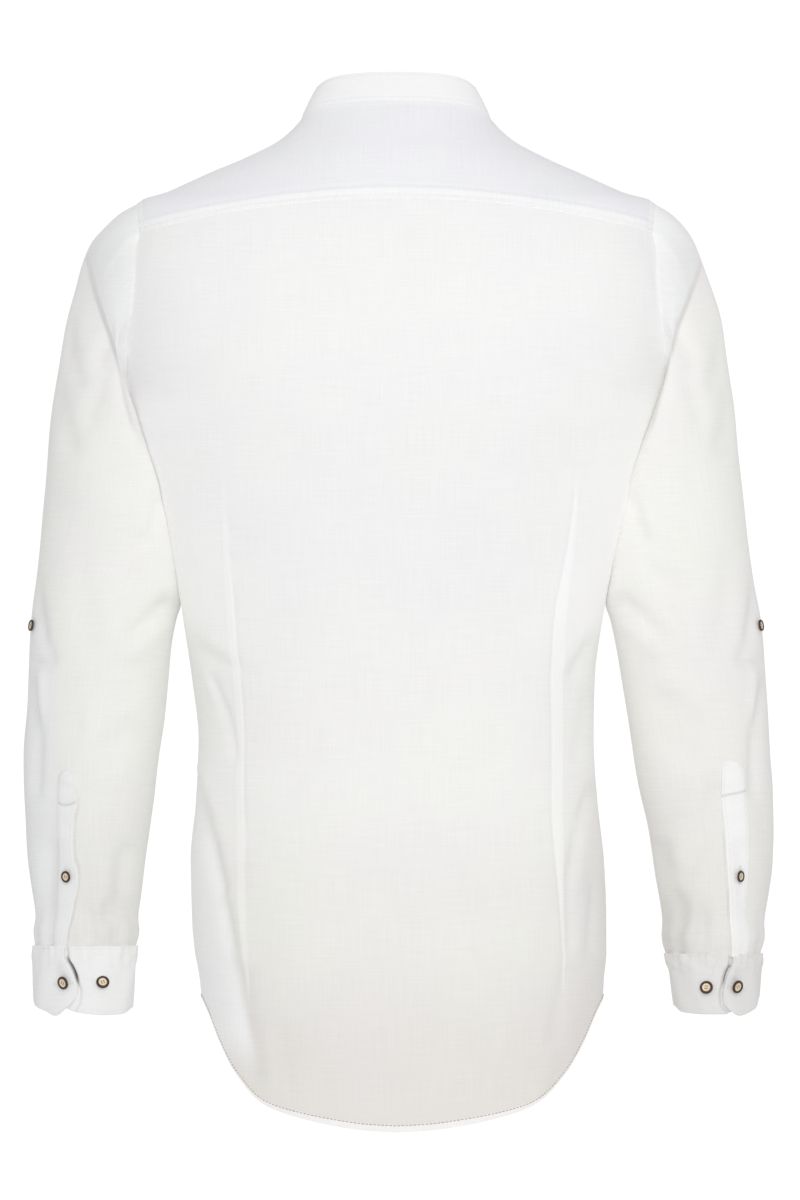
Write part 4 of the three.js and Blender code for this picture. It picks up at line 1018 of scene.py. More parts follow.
def make_cuff(side, material):
    end_at = curve(CUFF_END[side], "share", "degrees")
    bottom = curve(CUFF_BOTTOM[side], "run", "z")
    run_share = spaced((0, 10), (0.03, 120), (0.75, 30), (0.84, 90), (0.90, 14), (1, 0))
    levels = spaced((0, 6), (0.08, 34), (0.92, 5), (1, 0))
    level, share = np.meshgrid(levels, run_share, indexing="ij")
    start = end_at(level)
    degrees = mix(start, CUFF_INNER_END[side], share)
    run = start - degrees
    low = bottom(np.degrees(np.radians(run)))
    z = mix(CUFF_TOP_Z, low, level)
    angle = np.radians(degrees)
    lap = ease((run - 352) / 8)
    grow = 1.0 - 2.6 * lap
    bulge = 4.6 * bell(level - 0.42, 0.27)
    lift = ease(1 - run / 24) ** 1.3 * (0.6 + bulge * (1.0 if side > 0 else 0.7))
    at, wide, deep = CUFF_SLIT[side]
    slit = np.exp(-((run - at) / wide) ** 4) * ease((level - 0.12) / 0.16) * ease((0.68 - level) / 0.22)
    dip = 1.2 * bell(run - 357, 2.2) + deep * slit
    wave = 0.5 * np.sin(angle * 9 + level * 4) * (run < 340)
    puckers = 0.5 * np.sin(angle * 31 + 1.5 * np.sin(angle * 7)) * np.exp(-level / 0.16) * (run < 352)
    crumple = 0.55 * np.sin(angle * 17 + 6 * level) * np.sin(level * 9 - angle * 5)
    crumple = crumple * ease((0.55 - level) / 0.3)
    puckers = puckers + crumple * (run < 340)
    corner = 1.6 * bell(angle - math.radians(139), 0.05) * (side > 0) * (run > 200) * (run < 340)
    puckers = puckers + corner * level
    p, normal = wrist_point(side, angle, z, grow + lift + wave * (1 - lap) - dip + puckers)
    across, down = row_length(p)
    height = down[-1:]
    edge = np.minimum(np.minimum(down, height - down), across)
    groove = 0.35 * bell(edge - 2.4, 0.7) + 0.4 * ease(1 - edge / 1.0)
    p = lowered(p - normal * groove[..., None], side)
    stitch_row(p, normal, down, 2.2)
    stitch_row(p, normal, height - down, 3.0)
    stitch_row(p, normal, across, 3.0, axis=1)
    # dark: painted shadow in the slit between the lap and the layer under it.
    fields = {"layers": np.ones_like(z), "dark": (0.82 if side > 0 else 0.66) * slit}
    return panel_object(f"cuff_{WORD[side]}_band", p, normal, fields, material, wall=1.8)


BUTTON = table(("radius", "height"), [
    (4.3, 0), (5.0, 0.35), (5.2, 0.9), (5.15, 1.5), (4.9, 2.0), (4.55, 2.2), (4.2, 2.15), (3.9, 1.9),
    (3.6, 1.65), (2.6, 1.5), (1.6, 1.45), (0.6, 1.45),
])
# Cuff buttons: angle from the outer side of the arm, height, direction they face, how far they stand off.
CUFF_BUTTONS = {
    1: ((69.5, -671.0, (0.68, 0.70, -0.24), 3.4), (112.0, -671.0, (-0.06, 0.90, 0.42), 0.9)),
    -1: ((65.5, -674.0, (-0.68, 0.70, -0.26), 3.2), (102.5, -675.0, (0.16, 0.95, 0.28), 0.7)),
}
HOLE_OFF = 0.95
HOLE_RADIUS = 0.42


def mesh_object(name, points, faces, material, fields=None):
    """An object from points in millimetres and lists of corners."""
    mesh = bpy.data.meshes.new(name)
    mesh.from_pydata((np.asarray(points) * MM).tolist(), [], faces)
    for key, value in (fields or {}).items():
        layer = mesh.attributes.new(key, "FLOAT", "POINT")
        layer.data.foreach_set("value", np.asarray(value, np.float32))
    mesh.polygons.foreach_set("use_smooth", np.ones(len(mesh.polygons), bool))
    mesh.set_sharp_from_angle(angle=math.radians(60))
    for one in (material if isinstance(material, list) else [material]):
        mesh.materials.append(one)
    obj = bpy.data.objects.new(name, mesh)
    bpy.context.scene.collection.objects.link(obj)
    return obj


def frame_at(normal):
    """Directions across, up and out at a point of the cloth."""
    out = unit(normal)
    across = unit(np.cross(np.array([0.0, 0.0, 1.0]), out))
    return across, np.cross(out, across), out


def lathe(profile_r, profile_h, sides, place):
    """Ring of points for a turned shape, closed at its foot and top."""
    foot, (across, up, out) = place
    angles = np.arange(sides) * 2 * math.pi / sides
    ring = np.cos(angles)[:, None] * across + np.sin(angles)[:, None] * up
    points = [foot + ring * r + out * h for r, h in zip(profile_r, profile_h)]
    points = np.concatenate(points + [[foot + out * profile_h[0]], [foot + out * profile_h[-1]]])
    faces = []
    rings = len(profile_r)
    for k in range(rings - 1):
        for i in range(sides):
            j = (i + 1) % sides
            faces.append([k * sides + i, k * sides + j, (k + 1) * sides + j, (k + 1) * sides + i])
    for i in range(sides):
        j = (i + 1) % sides
        faces.append([rings * sides, j, i])
        faces.append([rings * sides + 1, (rings - 1) * sides + i, (rings - 1) * sides + j])
    return points, faces


def make_buttons(places, horn, hole, thread):
    """Four-hole buttons with their crossed threads, one mesh."""
    points, faces, radii, slots = [], [], [], []
    count = 0

    def keep(part, slot_index, radius):
        nonlocal count
        part_points, part_faces = part
        points.append(part_points)
        faces.extend([[i + count for i in face] for face in part_faces])
        slots.extend([slot_index] * len(part_faces))
        radii.append(np.full(len(part_points), 0.0) if radius is None else radius)
        count += len(part_points)

    for foot, normal, turn, size in places:
        across, up, out = (axis * size for axis in frame_at(normal))
        place = (foot, (across, up, out))
        sides = 40
        ring_radius = np.repeat(BUTTON["radius"], sides)
        keep(lathe(BUTTON["radius"], BUTTON["height"], sides, place), 0,
             np.concatenate((ring_radius, [0, 0])) / BUTTON["radius"].max())
        holes = []
        for k in range(4):
            a = turn + math.pi / 4 + k * math.pi / 2
            centre = foot + across * math.cos(a) * HOLE_OFF * 1.4 + up * math.sin(a) * HOLE_OFF * 1.4
            holes.append(centre)
            keep(lathe([HOLE_RADIUS, HOLE_RADIUS, HOLE_RADIUS * 0.8], [1.2, 1.5, 1.53], 12,
                       (centre, (across, up, out))), 1, None)
        for a, b in ((0, 1), (2, 3)):
            for shift in (-0.14, 0.14):
                start, end = holes[a], holes[b]
                way = unit(end - start)
                side_way = np.cross(unit(out), way)
                middle = (start + end) / 2 + side_way * shift + out * 1.62
                length = np.linalg.norm(end - start) / 2
                steps = np.linspace(-1, 1, 7)
                ring = np.arange(8) * math.pi / 4
                strand = []
                for t in steps:
                    r = 0.17 * math.sqrt(max(0.02, 1 - 0.8 * t**4))
                    centre = middle + way * length * t + out * (0.16 * (1 - t * t) - 0.1)
                    strand.append(centre + np.cos(ring)[:, None] * side_way * r
                                  + np.sin(ring)[:, None] * out * r)
                strand = np.concatenate(strand)
                tube = [[i * 8 + j, (i + 1) * 8 + j, (i + 1) * 8 + (j + 1) % 8, i * 8 + (j + 1) % 8]
                        for i in range(6) for j in range(8)]
                tube.append(list(range(8)))
                tube.append(list(range(48, 56))[::-1])
                keep((strand, tube), 2, None)
    obj = mesh_object("shirt_buttons", np.concatenate(points), faces, [horn, hole, thread],
                      {"radius": np.concatenate(radii)})
    obj.data.polygons.foreach_set("material_index", slots)
    return obj


def stitch_points(lines, pitch):
    """Places, directions and cloth normals of the stitches along lines."""
    places, ways, outs = [], [], []
    for line in lines:
        p, n = line[:, :3], line[:, 3:]
        travel = np.concatenate(([0], np.cumsum(np.linalg.norm(np.diff(p, axis=0), axis=1))))
        count = int(travel[-1] / pitch)
        if count < 2:
            continue
        at = (np.arange(count) + 0.5) * travel[-1] / count
        spot = np.stack([np.interp(at, travel, p[:, k]) for k in range(3)], axis=1)
        ahead = np.stack([np.interp(at + 0.5, travel, p[:, k]) for k in range(3)], axis=1)
        behind = np.stack([np.interp(at - 0.5, travel, p[:, k]) for k in range(3)], axis=1)
        out = unit(np.stack([np.interp(at, travel, n[:, k]) for k in range(3)], axis=1))
        places.append(spot)
        ways.append(unit(ahead - behind))
        outs.append(out)
    return np.concatenate(places), np.concatenate(ways), np.concatenate(outs)


def stitch_tree(material):
    """Geometry nodes that lay one small stitch on every point, along its seam."""
    tree = bpy.data.node_groups.new("stitches", "GeometryNodeTree")
    tree.interface.new_socket("Geometry", in_out="INPUT", socket_type="NodeSocketGeometry")
    sizes = {}
    for key, value in (("Stitch length", 2.2 * MM), ("Stitch width", 0.42 * MM), ("Stitch height", 0.3 * MM)):
        socket = tree.interface.new_socket(key, in_out="INPUT", socket_type="NodeSocketFloat")
        socket.default_value = value
        sizes[key] = socket.identifier
    socket = tree.interface.new_socket("Seed", in_out="INPUT", socket_type="NodeSocketInt")
    socket.default_value = 7
    sizes["Seed"] = socket.identifier
    tree.interface.new_socket("Geometry", in_out="OUTPUT", socket_type="NodeSocketGeometry")
    nodes, link = tree.nodes, tree.links.new
    start = nodes.new("NodeGroupInput")
    end = nodes.new("NodeGroupOutput")
    ball = nodes.new("GeometryNodeMeshUVSphere")
    ball.inputs["Segments"].default_value = 6
    ball.inputs["Rings"].default_value = 5
    ball.inputs["Radius"].default_value = 0.5
    along = nodes.new("GeometryNodeInputNamedAttribute")
    along.data_type = "FLOAT_VECTOR"
    along.inputs["Name"].default_value = "along"
    out = nodes.new("GeometryNodeInputNamedAttribute")
    out.data_type = "FLOAT_VECTOR"
    out.inputs["Name"].default_value = "out"
    axes = nodes.new("FunctionNodeAxesToRotation")
    axes.primary_axis = "Z"
    axes.secondary_axis = "X"
    link(out.outputs["Attribute"], axes.inputs["Primary Axis"])
    link(along.outputs["Attribute"], axes.inputs["Secondary Axis"])
    size = nodes.new("ShaderNodeCombineXYZ")
    link(start.outputs["Stitch length"], size.inputs["X"])
    link(start.outputs["Stitch width"], size.inputs["Y"])
    link(start.outputs["Stitch height"], size.inputs["Z"])
    vary = nodes.new("FunctionNodeRandomValue")
    vary.data_type = "FLOAT"
    vary.inputs["Min"].default_value = 0.9
    vary.inputs["Max"].default_value = 1.1
    link(start.outputs["Seed"], vary.inputs["Seed"])
    scaled = nodes.new("ShaderNodeVectorMath")
    scaled.operation = "SCALE"
    link(size.outputs["Vector"], scaled.inputs[0])
    link(vary.outputs[1], scaled.inputs["Scale"])
    lay = nodes.new("GeometryNodeInstanceOnPoints")
    link(start.outputs["Geometry"], lay.inputs["Points"])
    link(ball.outputs["Mesh"], lay.inputs["Instance"])
    link(axes.outputs["Rotation"], lay.inputs["Rotation"])
    link(scaled.outputs["Vector"], lay.inputs["Scale"])
    real = nodes.new("GeometryNodeRealizeInstances")
    link(lay.outputs["Instances"], real.inputs["Geometry"])
    paint = nodes.new("GeometryNodeSetMaterial")
    paint.inputs["Material"].default_value = material
    link(real.outputs["Geometry"], paint.inputs["Geometry"])
    link(paint.outputs["Geometry"], end.inputs["Geometry"])
    return tree, sizes


def buttonhole(foot, normal, along, length):
    """Places of the close stitches on both lips and at the ends of a buttonhole."""
    out = unit(normal)
    along = unit(along - out * np.dot(along, out))
    beside = np.cross(out, along)
    places, ways = [], []
    for step in np.arange(-length / 2, length / 2 + 0.01, 0.42):
        for lip in (-1, 1):
            places.append(foot + along * step + beside * lip * 0.62)
            ways.append(beside)
    for end in (-1, 1):
        for step in (-0.25, 0.25):
            places.append(foot + along * (length / 2 + 0.3 + step) * end)
            ways.append(beside)
    return np.array(places), np.array(ways), np.tile(out, (len(places), 1))


def make_stitches(name, points, material, length, wide):
    places, ways, outs = points
    mesh = bpy.data.meshes.new(name + "_points")
    mesh.from_pydata(((places + outs * 0.04) * MM).tolist(), [], [])
    for key, value in (("along", ways), ("out", outs)):
        layer = mesh.attributes.new(key, "FLOAT_VECTOR", "POINT")
        layer.data.foreach_set("vector", value.astype(np.float32).ravel())
    seeds = bpy.data.objects.new(name + "_points", mesh)
    bpy.context.scene.collection.objects.link(seeds)
    tree, sizes = stitch_tree(material)
    modifier = seeds.modifiers.new("stitches", "NODES")
    modifier.node_group = tree
    modifier[sizes["Stitch length"]] = length * MM
    modifier[sizes["Stitch width"]] = wide * MM
    modifier[sizes["Stitch height"]] = wide * 0.7 * MM
    modifier[sizes["Seed"]] = 7
    bpy.context.view_layer.update()
    made = bpy.data.meshes.new_from_object(seeds.evaluated_get(bpy.context.evaluated_depsgraph_get()))
    made.name = name
    seeds.modifiers.clear()
    bpy.data.objects.remove(seeds)
    for key in ("along", "out"):
        if key in made.attributes:
            made.attributes.remove(made.attributes[key])
    made.polygons.foreach_set("use_smooth", np.ones(len(made.polygons), bool))
    obj = bpy.data.objects.new(name, made)
    bpy.context.scene.collection.objects.link(obj)
    return obj


def new_material(name):
    material = bpy.data.materials.new(name)
    material.use_nodes = True
    nodes = material.node_tree.nodes
    return material, nodes, material.node_tree.links.new, nodes["Principled BSDF"]


def math_node(nodes, link, operation, a, b=None, clamp=False):
    node = nodes.new("ShaderNodeMath")
    node.operation = operation
    node.use_clamp = clamp
    for i, value in enumerate((a, b)):
        if value is None:
            continue
        if isinstance(value, (int, float)):
            node.inputs[i].default_value = value
        else:
            link(value, node.inputs[i])
    return node.outputs[0]


def stretched_noise(nodes, link, coords, scale, detail=2.0, offset=0.0):
    place = nodes.new("ShaderNodeMapping")
    place.inputs["Scale"].default_value = scale
    place.inputs["Location"].default_value = (offset, offset * 1.7, 0)
    link(coords, place.inputs["Vector"])
    noise = nodes.new("ShaderNodeTexNoise")
    noise.inputs["Scale"].default_value = 1.0
    noise.inputs["Detail"].default_value = detail
    link(place.outputs["Vector"], noise.inputs["Vector"])
    return noise.outputs["Fac"]


def weave(nodes, link, coords, direction, threads):
    """Rounded threads across one direction of the cloth map."""
    wave = nodes.new("ShaderNodeTexWave")
    wave.bands_direction = direction
    wave.inputs["Scale"].default_value = threads
    wave.inputs["Distortion"].default_value = 0.8
    wave.inputs["Detail"].default_value = 1.0
    wave.inputs["Detail Scale"].default_value = 0.35
    link(coords, wave.inputs["Vector"])
    return wave.outputs["Fac"]


# Heights in metres that the painted falloff of the cloth's tones runs between.
TOP_HEIGHT = 0.0
LOW_HEIGHT = -0.82


def linen_material(name, painted_falloff_tones, double_colour, cool_colour=(0.84, 0.842, 0.845), slub=1.0, offset=0.0):
    """White linen: plain weave, slubs both ways, whiter where two layers lie on each other.

    painted_falloff_tones lists heights in metres with the colour there, painted shade making it darker and
    warmer low down.
    Its attributes turn it to a painted neutral cool tone and darken it with painted shade, lightening it
    where dark is below nought."""
    material, nodes, link, shader = new_material(name)
    cloth = nodes.new("ShaderNodeUVMap")
    cloth.uv_map = "cloth"
    coords = cloth.outputs["UV"]
    layers = nodes.new("ShaderNodeAttribute")
    layers.attribute_name = "layers"
    place = nodes.new("ShaderNodeTexCoord")
    parts = nodes.new("ShaderNodeSeparateXYZ")
    link(place.outputs["Object"], parts.inputs[0])

    lengthwise = stretched_noise(nodes, link, coords, (900, 26, 1), 1.0, offset=offset)
    crosswise = stretched_noise(nodes, link, coords, (30, 900, 1), 1.0, offset=offset + 3)
    cloudy = stretched_noise(nodes, link, coords, (22, 22, 1), 3.0, offset=offset + 8)
    warp = weave(nodes, link, coords, "X", 640.0)
    weft = weave(nodes, link, coords, "Y", 640.0)
    threads = math_node(nodes, link, "MULTIPLY", warp, weft)

    long_slub = math_node(nodes, link, "SUBTRACT", lengthwise, 0.5)
    cross_slub = math_node(nodes, link, "SUBTRACT", crosswise, 0.5)
    slubs = math_node(nodes, link, "ADD", long_slub, cross_slub)
    clouds = math_node(nodes, link, "MULTIPLY", math_node(nodes, link, "SUBTRACT", cloudy, 0.5), 0.35)
    tone = math_node(nodes, link, "MULTIPLY", math_node(nodes, link, "ADD", slubs, clouds), 0.07 * slub)
    weave_tone = math_node(nodes, link, "MULTIPLY", math_node(nodes, link, "SUBTRACT", threads, 0.25), 0.03)
    bright = math_node(nodes, link, "ADD", math_node(nodes, link, "ADD", tone, weave_tone), 1.0)
    # Painted shade from the dark attribute, in creases, folds, gaps and shaded zones; below nought it is
    # painted light.
    dark = nodes.new("ShaderNodeAttribute")
    dark.attribute_name = "dark"
    cool = nodes.new("ShaderNodeAttribute")
    cool.attribute_name = "cool"
    kept = math_node(nodes, link, "SUBTRACT", 1.0, dark.outputs["Fac"])
    bright = math_node(nodes, link, "MULTIPLY", bright, kept)

    # Painted shade: the colour by height darkens and warms the cloth towards the bottom.
    height_share = nodes.new("ShaderNodeMapRange")
    height_share.inputs["From Min"].default_value = LOW_HEIGHT
    height_share.inputs["From Max"].default_value = TOP_HEIGHT
    link(parts.outputs["Z"], height_share.inputs["Value"])
    ramp = nodes.new("ShaderNodeValToRGB")
    ramp.color_ramp.interpolation = "EASE"
    for k, (height, colour) in enumerate(painted_falloff_tones):
        place_on_ramp = (height - LOW_HEIGHT) / (TOP_HEIGHT - LOW_HEIGHT)
        stop = ramp.color_ramp.elements[k] if k < 2 else ramp.color_ramp.elements.new(place_on_ramp)
        stop.position = place_on_ramp
        stop.color = (*colour, 1)
    link(height_share.outputs["Result"], ramp.inputs["Fac"])
    patches = stretched_noise(nodes, link, place.outputs["Object"], (9, 9, 12), 4.0, offset=offset + 2)
    hue = nodes.new("ShaderNodeMapRange")
    hue.inputs["From Min"].default_value = 0.36
    hue.inputs["From Max"].default_value = 0.64
    link(patches, hue.inputs["Value"])
    cast = nodes.new("ShaderNodeMix")
    cast.data_type = "RGBA"
    cast.inputs[6].default_value = (1.0, 1.004, 0.984, 1)
    cast.inputs[7].default_value = (0.998, 0.985, 0.994, 1)
    link(hue.outputs["Result"], cast.inputs[0])
    tinted = nodes.new("ShaderNodeVectorMath")
    tinted.operation = "MULTIPLY"
    link(ramp.outputs["Color"], tinted.inputs[0])
    link(cast.outputs[2], tinted.inputs[1])
    # Painted tone: the cool attribute mixes in a neutral grey on the sleeve caps, the left sleeve's outer
    # strip and the back's lower left side.
    ground = nodes.new("ShaderNodeMix")
    ground.data_type = "RGBA"
    ground.inputs[7].default_value = (*cool_colour, 1)
    link(cool.outputs["Fac"], ground.inputs[0])
    link(tinted.outputs["Vector"], ground.inputs[6])
    double = nodes.new("ShaderNodeMix")
    double.data_type = "RGBA"
    double.inputs[7].default_value = (*double_colour, 1)
    link(math_node(nodes, link, "MULTIPLY", layers.outputs["Fac"], 0.75), double.inputs[0])
    link(ground.outputs[2], double.inputs[6])
    final = nodes.new("ShaderNodeVectorMath")
    final.operation = "SCALE"
    link(double.outputs[2], final.inputs[0])
    link(bright, final.inputs["Scale"])
    link(final.outputs["Vector"], shader.inputs["Base Color"])
    # Painted light: the cloth glows faintly in its own colour, which lifts the shade in its folds.
    link(final.outputs["Vector"], shader.inputs["Emission Color"])
    shader.inputs["Emission Strength"].default_value = 0.12

    relief = math_node(nodes, link, "ADD", math_node(nodes, link, "MULTIPLY", slubs, 0.6 * slub),
                       math_node(nodes, link, "MULTIPLY", threads, 0.35))
    bump = nodes.new("ShaderNodeBump")
    bump.inputs["Strength"].default_value = 0.35
    bump.inputs["Distance"].default_value = 0.00035
    link(relief, bump.inputs["Height"])
    link(bump.outputs["Normal"], shader.inputs["Normal"])
    shader.inputs["Roughness"].default_value = 0.92
    shader.inputs["Specular IOR Level"].default_value = 0.25
    shader.inputs["Sheen Weight"].default_value = 0.12
    shader.inputs["Sheen Roughness"].default_value = 0.6
    return material


def thread_material(name, colour):
    material, nodes, link, shader = new_material(name)
    place = nodes.new("ShaderNodeTexCoord")
    twist = stretched_noise(nodes, link, place.outputs["Object"], (900, 900, 900))
    tint = nodes.new("ShaderNodeMix")
    tint.data_type = "RGBA"
    tint.inputs[6].default_value = (*[c * 0.9 for c in colour], 1)
    tint.inputs[7].default_value = (*colour, 1)
    link(twist, tint.inputs[0])
    link(tint.outputs[2], shader.inputs["Base Color"])
    shader.inputs["Roughness"].default_value = 0.7
    return material


def horn_material():
    """Cream button with a dark brown rim and faint clouds."""
    material, nodes, link, shader = new_material("horn button")
    radius = nodes.new("ShaderNodeAttribute")
    radius.attribute_name = "radius"
    place = nodes.new("ShaderNodeTexCoord")
    clouds = stretched_noise(nodes, link, place.outputs["Object"], (420, 420, 160), 3.0)
    uneven = math_node(nodes, link, "MULTIPLY", math_node(nodes, link, "SUBTRACT", clouds, 0.5), 0.16)
    shifted = math_node(nodes, link, "ADD", radius.outputs["Fac"], uneven)
    ramp = nodes.new("ShaderNodeValToRGB")
    ramp.color_ramp.elements[0].position = 0.55
    ramp.color_ramp.elements[0].color = (0.86, 0.74, 0.55, 1)
    ramp.color_ramp.elements[1].position = 0.71
    ramp.color_ramp.elements[1].color = (0.035, 0.014, 0.008, 1)
    middle = ramp.color_ramp.elements.new(0.64)
    middle.color = (0.30, 0.14, 0.05, 1)
    link(shifted, ramp.inputs["Fac"])
    link(ramp.outputs["Color"], shader.inputs["Base Color"])
    shader.inputs["Roughness"].default_value = 0.38
    shader.inputs["Coat Weight"].default_value = 0.15
    return material


def hole_material():
    material, nodes, link, shader = new_material("button hole shadow")
    place = nodes.new("ShaderNodeTexCoord")
    grain = stretched_noise(nodes, link, place.outputs["Object"], (700, 700, 700))
    ramp = nodes.new("ShaderNodeValToRGB")
    ramp.color_ramp.elements[0].color = (0.03, 0.02, 0.012, 1)
    ramp.color_ramp.elements[1].color = (0.08, 0.05, 0.03, 1)
    link(grain, ramp.inputs["Fac"])
    link(ramp.outputs["Color"], shader.inputs["Base Color"])
    shader.inputs["Roughness"].default_value = 0.9
    return material


def floor_material():
    """Pale floor that fades to plain white away from the middle."""
    material, nodes, link, shader = new_material("pale floor")
    place = nodes.new("ShaderNodeTexCoord")
    far = nodes.new("ShaderNodeVectorMath")
    far.operation = "LENGTH"
    link(place.outputs["Object"], far.inputs[0])
    fade = nodes.new("ShaderNodeMapRange")
    fade.inputs["From Min"].default_value = 0.5
    fade.inputs["From Max"].default_value = 1.7
    link(far.outputs["Value"], fade.inputs["Value"])
    shader.inputs["Base Color"].default_value = (0.86, 0.86, 0.86, 1)
    shader.inputs["Roughness"].default_value = 0.9
    light = nodes.new("ShaderNodeEmission")
    light.inputs["Color"].default_value = (1, 1, 1, 1)
    blend = nodes.new("ShaderNodeMixShader")
    link(fade.outputs["Result"], blend.inputs["Fac"])
    link(shader.outputs["BSDF"], blend.inputs[1])
    link(light.outputs["Emission"], blend.inputs[2])
    link(blend.outputs["Shader"], nodes["Material Output"].inputs["Surface"])
    return material


def make_floor():
    count = 96
    angle = np.arange(count) * 2 * math.pi / count
    ring = np.stack((np.cos(angle), np.sin(angle), angle * 0), axis=1)
    radii = [0.3, 0.6, 1.0, 1.4, 1.8]
    points = np.concatenate([[[0, 0, 0]]] + [ring * r for r in radii])
    faces = [[0, 1 + i, 1 + (i + 1) % count] for i in range(count)]
    for k in range(len(radii) - 1):
        a, b = 1 + k * count, 1 + (k + 1) * count
        faces += [[a + i, b + i, b + (i + 1) % count, a + (i + 1) % count] for i in range(count)]
    mesh = bpy.data.meshes.new("floor")
    mesh.from_pydata(points.tolist(), [], faces)
    mesh.materials.append(floor_material())
    floor = bpy.data.objects.new("floor", mesh)
    floor.location = (0, 0, -1.45)
    bpy.context.scene.collection.objects.link(floor)
    return floor


def soft_light(name, place, target, size, power):
    data = bpy.data.lights.new(name, "AREA")
    data.shape = "RECTANGLE"
    data.size, data.size_y = size
    data.energy = power
    obj = bpy.data.objects.new(name, data)
    obj.location = place
    away = Vector(target) - Vector(place)
    obj.rotation_euler = away.to_track_quat("-Z", "Y").to_euler()
    bpy.context.scene.collection.objects.link(obj)


def white_world():
    """Soft white surroundings, seen as pure white behind the shirt."""
    world = bpy.data.worlds.new("white studio")
    bpy.context.scene.world = world
    world.use_nodes = True
    nodes, link = world.node_tree.nodes, world.node_tree.links.new
    nodes.clear()
    fill = nodes.new("ShaderNodeBackground")
    fill.inputs["Color"].default_value = (1, 1, 1, 1)
    fill.inputs["Strength"].default_value = 0.63
    seen = nodes.new("ShaderNodeBackground")
    seen.inputs["Color"].default_value = (1, 1, 1, 1)
    seen.inputs["Strength"].default_value = 1.06
    path = nodes.new("ShaderNodeLightPath")
    blend = nodes.new("ShaderNodeMixShader")
    link(path.outputs["Is Camera Ray"], blend.inputs["Fac"])
    link(fill.outputs["Background"], blend.inputs[1])
    link(seen.outputs["Background"], blend.inputs[2])
    end = nodes.new("ShaderNodeOutputWorld")
    link(blend.outputs["Shader"], end.inputs["Surface"])


# The pieces
# The linens' tones, all but the yoke's, darken towards the bottom: painted shade.
body_linen = linen_material("white linen", [
    (-0.74, (0.750, 0.728, 0.708)), (-0.10, (0.868, 0.869, 0.872)), (-0.28, (0.844, 0.845, 0.847)),
    (-0.50, (0.838, 0.838, 0.830)), (-0.62, (0.803, 0.797, 0.776)),
], (0.905, 0.905, 0.905), cool_colour=(0.852, 0.853, 0.85))
yoke_linen = linen_material("white linen yoke", [
    (-0.12, (0.846, 0.855, 0.880)), (0.0, (0.846, 0.855, 0.880)),
], (0.918, 0.920, 0.922), offset=5.0)
# Left and right sleeves are lit and shaded copies of one linen: painted light, the right one lighter.
sleeve_linens = {
    1: linen_material("white linen left sleeve", [
        (-0.62, (0.760, 0.760, 0.738)), (-0.08, (0.856, 0.860, 0.850)), (-0.28, (0.818, 0.820, 0.803)),
        (-0.45, (0.805, 0.808, 0.788)),
    ], (0.880, 0.880, 0.880), cool_colour=(0.825, 0.828, 0.830), offset=11.0),
    -1: linen_material("white linen right sleeve", [
        (-0.62, (0.772, 0.762, 0.740)), (-0.08, (0.884, 0.878, 0.860)), (-0.28, (0.845, 0.846, 0.826)),
        (-0.45, (0.820, 0.814, 0.796)),
    ], (0.905, 0.905, 0.905), cool_colour=(0.872, 0.874, 0.877), offset=14.0),
}
trim_linen = linen_material("white linen trim", [
    (-0.74, (0.84, 0.835, 0.825)), (-0.30, (0.87, 0.87, 0.87)),
], (0.900, 0.892, 0.910), slub=0.7, offset=17.0)
# Left and right cuffs are lit and shaded copies of one linen: painted light, the left one lighter.
cuff_linens = {
    1: linen_material("white linen left cuff", [
        (-0.69, (0.80, 0.80, 0.80)), (-0.64, (0.82, 0.82, 0.82)),
    ], (0.815, 0.815, 0.815), slub=0.8, offset=23.0),
    -1: linen_material("white linen right cuff", [
        (-0.69, (0.745, 0.735, 0.725)), (-0.64, (0.73, 0.725, 0.72)),
    ], (0.745, 0.732, 0.722), slub=0.8, offset=26.0),
}
# Left and right sleeve plackets are lit and shaded copies of one linen: painted light, the right one lighter.
band_linens = {
    1: linen_material("white linen left placket", [
        (-0.64, (0.77, 0.775, 0.775)), (-0.50, (0.79, 0.795, 0.795)),
    ], (0.785, 0.79, 0.79), slub=0.8, offset=29.0),
    -1: linen_material("white linen right placket", [
        (-0.64, (0.85, 0.85, 0.85)), (-0.50, (0.87, 0.87, 0.87)),
    ], (0.865, 0.865, 0.862), slub=0.8, offset=31.0),
}
white_thread = thread_material("white thread", (0.93, 0.93, 0.93))
hem_thread = thread_material("beige hem thread", (0.56, 0.44, 0.35))
button_thread = thread_material("brown button thread", (0.42, 0.31, 0.20))

back = make_back(body_linen)
fronts = {side: make_front(side, body_linen) for side in (1, -1)}
placket = make_placket(trim_linen)
yoke = make_yoke(yoke_linen)
collar = make_collar(trim_linen)
sleeves, shapes, cuffs, bands = {}, {}, {}, {}
for side in (1, -1):
    sleeves[side], shapes[side] = make_sleeve(side, sleeve_linens[side])
    bands[side] = make_sleeve_placket(side, shapes[side], band_linens[side])
    cuffs[side] = make_cuff(side, cuff_linens[side])

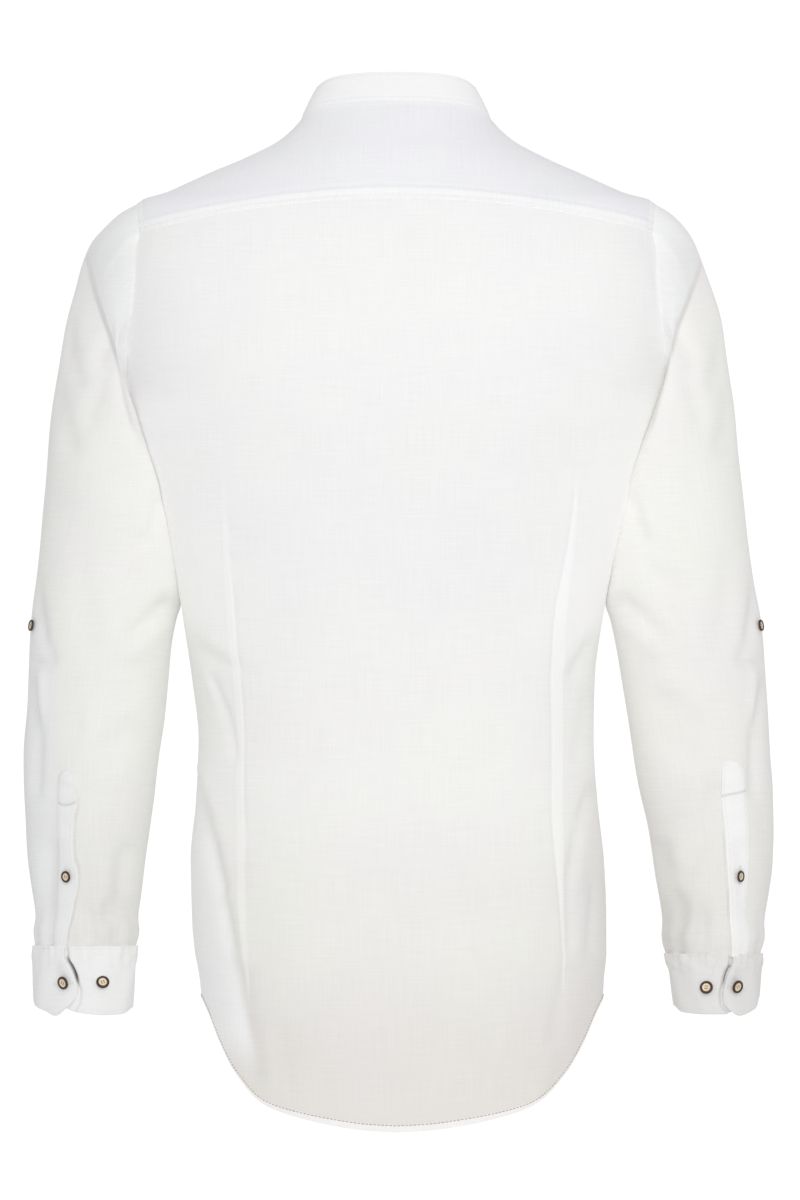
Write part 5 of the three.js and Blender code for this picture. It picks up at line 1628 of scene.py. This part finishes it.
# Buttons: place, direction they face, turn, size. Buttonholes: place, normal, direction, length.
UPWARDS = np.array([0.0, 0.0, 1.0])
places, holes = [], []
for z in FRONT_BUTTONS:
    spot = np.array([0.0, -float(front_depth(z)), float(z)])
    way = form_normal(spot)
    places.append((spot + way * 1.6, way, 0.1 * z, 1.0))
    holes.append((spot + way * 1.45 - UPWARDS * 1.5, way, UPWARDS, 15.0))
angles, lap = collar_angles()
spot, way = collar_surface(np.array(0.5), np.array(180.0), lap)
places.append((spot + way * 0.3, way, 0.5, 1.0))
holes.append((spot + way * 0.05, way, np.array([1.0, 0.0, 0.0]), 15.0))
for side in (1, -1):
    outer_edge, free_edge = placket_edges(side)
    z = PLACKET_BUTTON_Z
    spot, way = sleeve_line(shapes[side], z, mix(outer_edge(z), free_edge(z), 0.56 if side > 0 else 0.52))
    places.append((spot + way * 2.2, unit(way + np.array([side * 0.5, 0, 0.05])), 0.3 + side, 0.88))
    holes.append((spot + way * 2.05 + UPWARDS * 1.4, way, UPWARDS, 14.0))
    for k, (degrees, z, facing, lifted) in enumerate(CUFF_BUTTONS[side]):
        spot, way = wrist_point(side, np.radians(degrees), np.array(z), 1.0)
        places.append((spot + way * lifted, unit(np.array(facing)), 0.9 * k + side, 1.0))
        if k == 0:
            holes.append((spot + way * (lifted - 0.9), way, np.cross(UPWARDS, way), 15.0))
    spot, way = sleeve_line(shapes[side], -393.0, 14.0)
    places.append((spot + way * 0.8, unit(np.array([side * 0.93, 0.34, 0.14])), 0.2, 0.87))
buttons = make_buttons(places, horn_material(), hole_material(), button_thread)

hem_rows = [line for line, beige in stitch_lines if beige]
white_rows = [line for line, beige in stitch_lines if not beige]
hem_stitches = make_stitches("hem_stitching", stitch_points(hem_rows, 3.1), hem_thread, 2.7, 0.85)
stitches = make_stitches("edge_stitching", stitch_points(white_rows, 2.7), white_thread, 2.2, 0.5)
hole_points = [np.concatenate(parts) for parts in zip(*(buttonhole(*one) for one in holes))]
hole_stitches = make_stitches("buttonhole_stitching", hole_points, white_thread, 1.25, 0.5)

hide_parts("back")
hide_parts("yoke")
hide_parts("front_left")
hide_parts("front_right")
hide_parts("front_placket")
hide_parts("collar")
for side, word in WORD.items():
    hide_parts(f"sleeve_{word}")
    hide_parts(f"cuff_{word}")
    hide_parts(f"sleeve_placket_{word}")
button_nodes = [f"button_front_{i + 1}" for i in range(7)] + ["button_collar"]
for word in WORD.values():
    button_nodes += [f"button_placket_{word}", f"button_cuff_{word}_1", f"button_cuff_{word}_2",
                     f"button_rollup_{word}"]
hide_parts(*button_nodes)

for obj in (back, yoke, placket, collar, buttons, hem_stitches, stitches, hole_stitches, *fronts.values(),
            *sleeves.values(), *cuffs.values(), *bands.values()):
    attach(obj, "root")

floor = make_floor()
white_world()
soft_light("front softbox", (-0.5, 4.2, 0.9), (0, 0, -0.35), (2.6, 2.6), 62)

camera_data = bpy.data.cameras.new("camera")
camera_data.sensor_width = 36
camera_data.lens = 615.5
camera = bpy.data.objects.new("camera", camera_data)
camera.location = (-0.0031, 16.0, -0.373)
camera.rotation_euler = (math.pi / 2, 0, math.pi)
bpy.context.scene.collection.objects.link(camera)
bpy.context.scene.camera = camera
bpy.context.scene.view_settings.view_transform = "Standard"
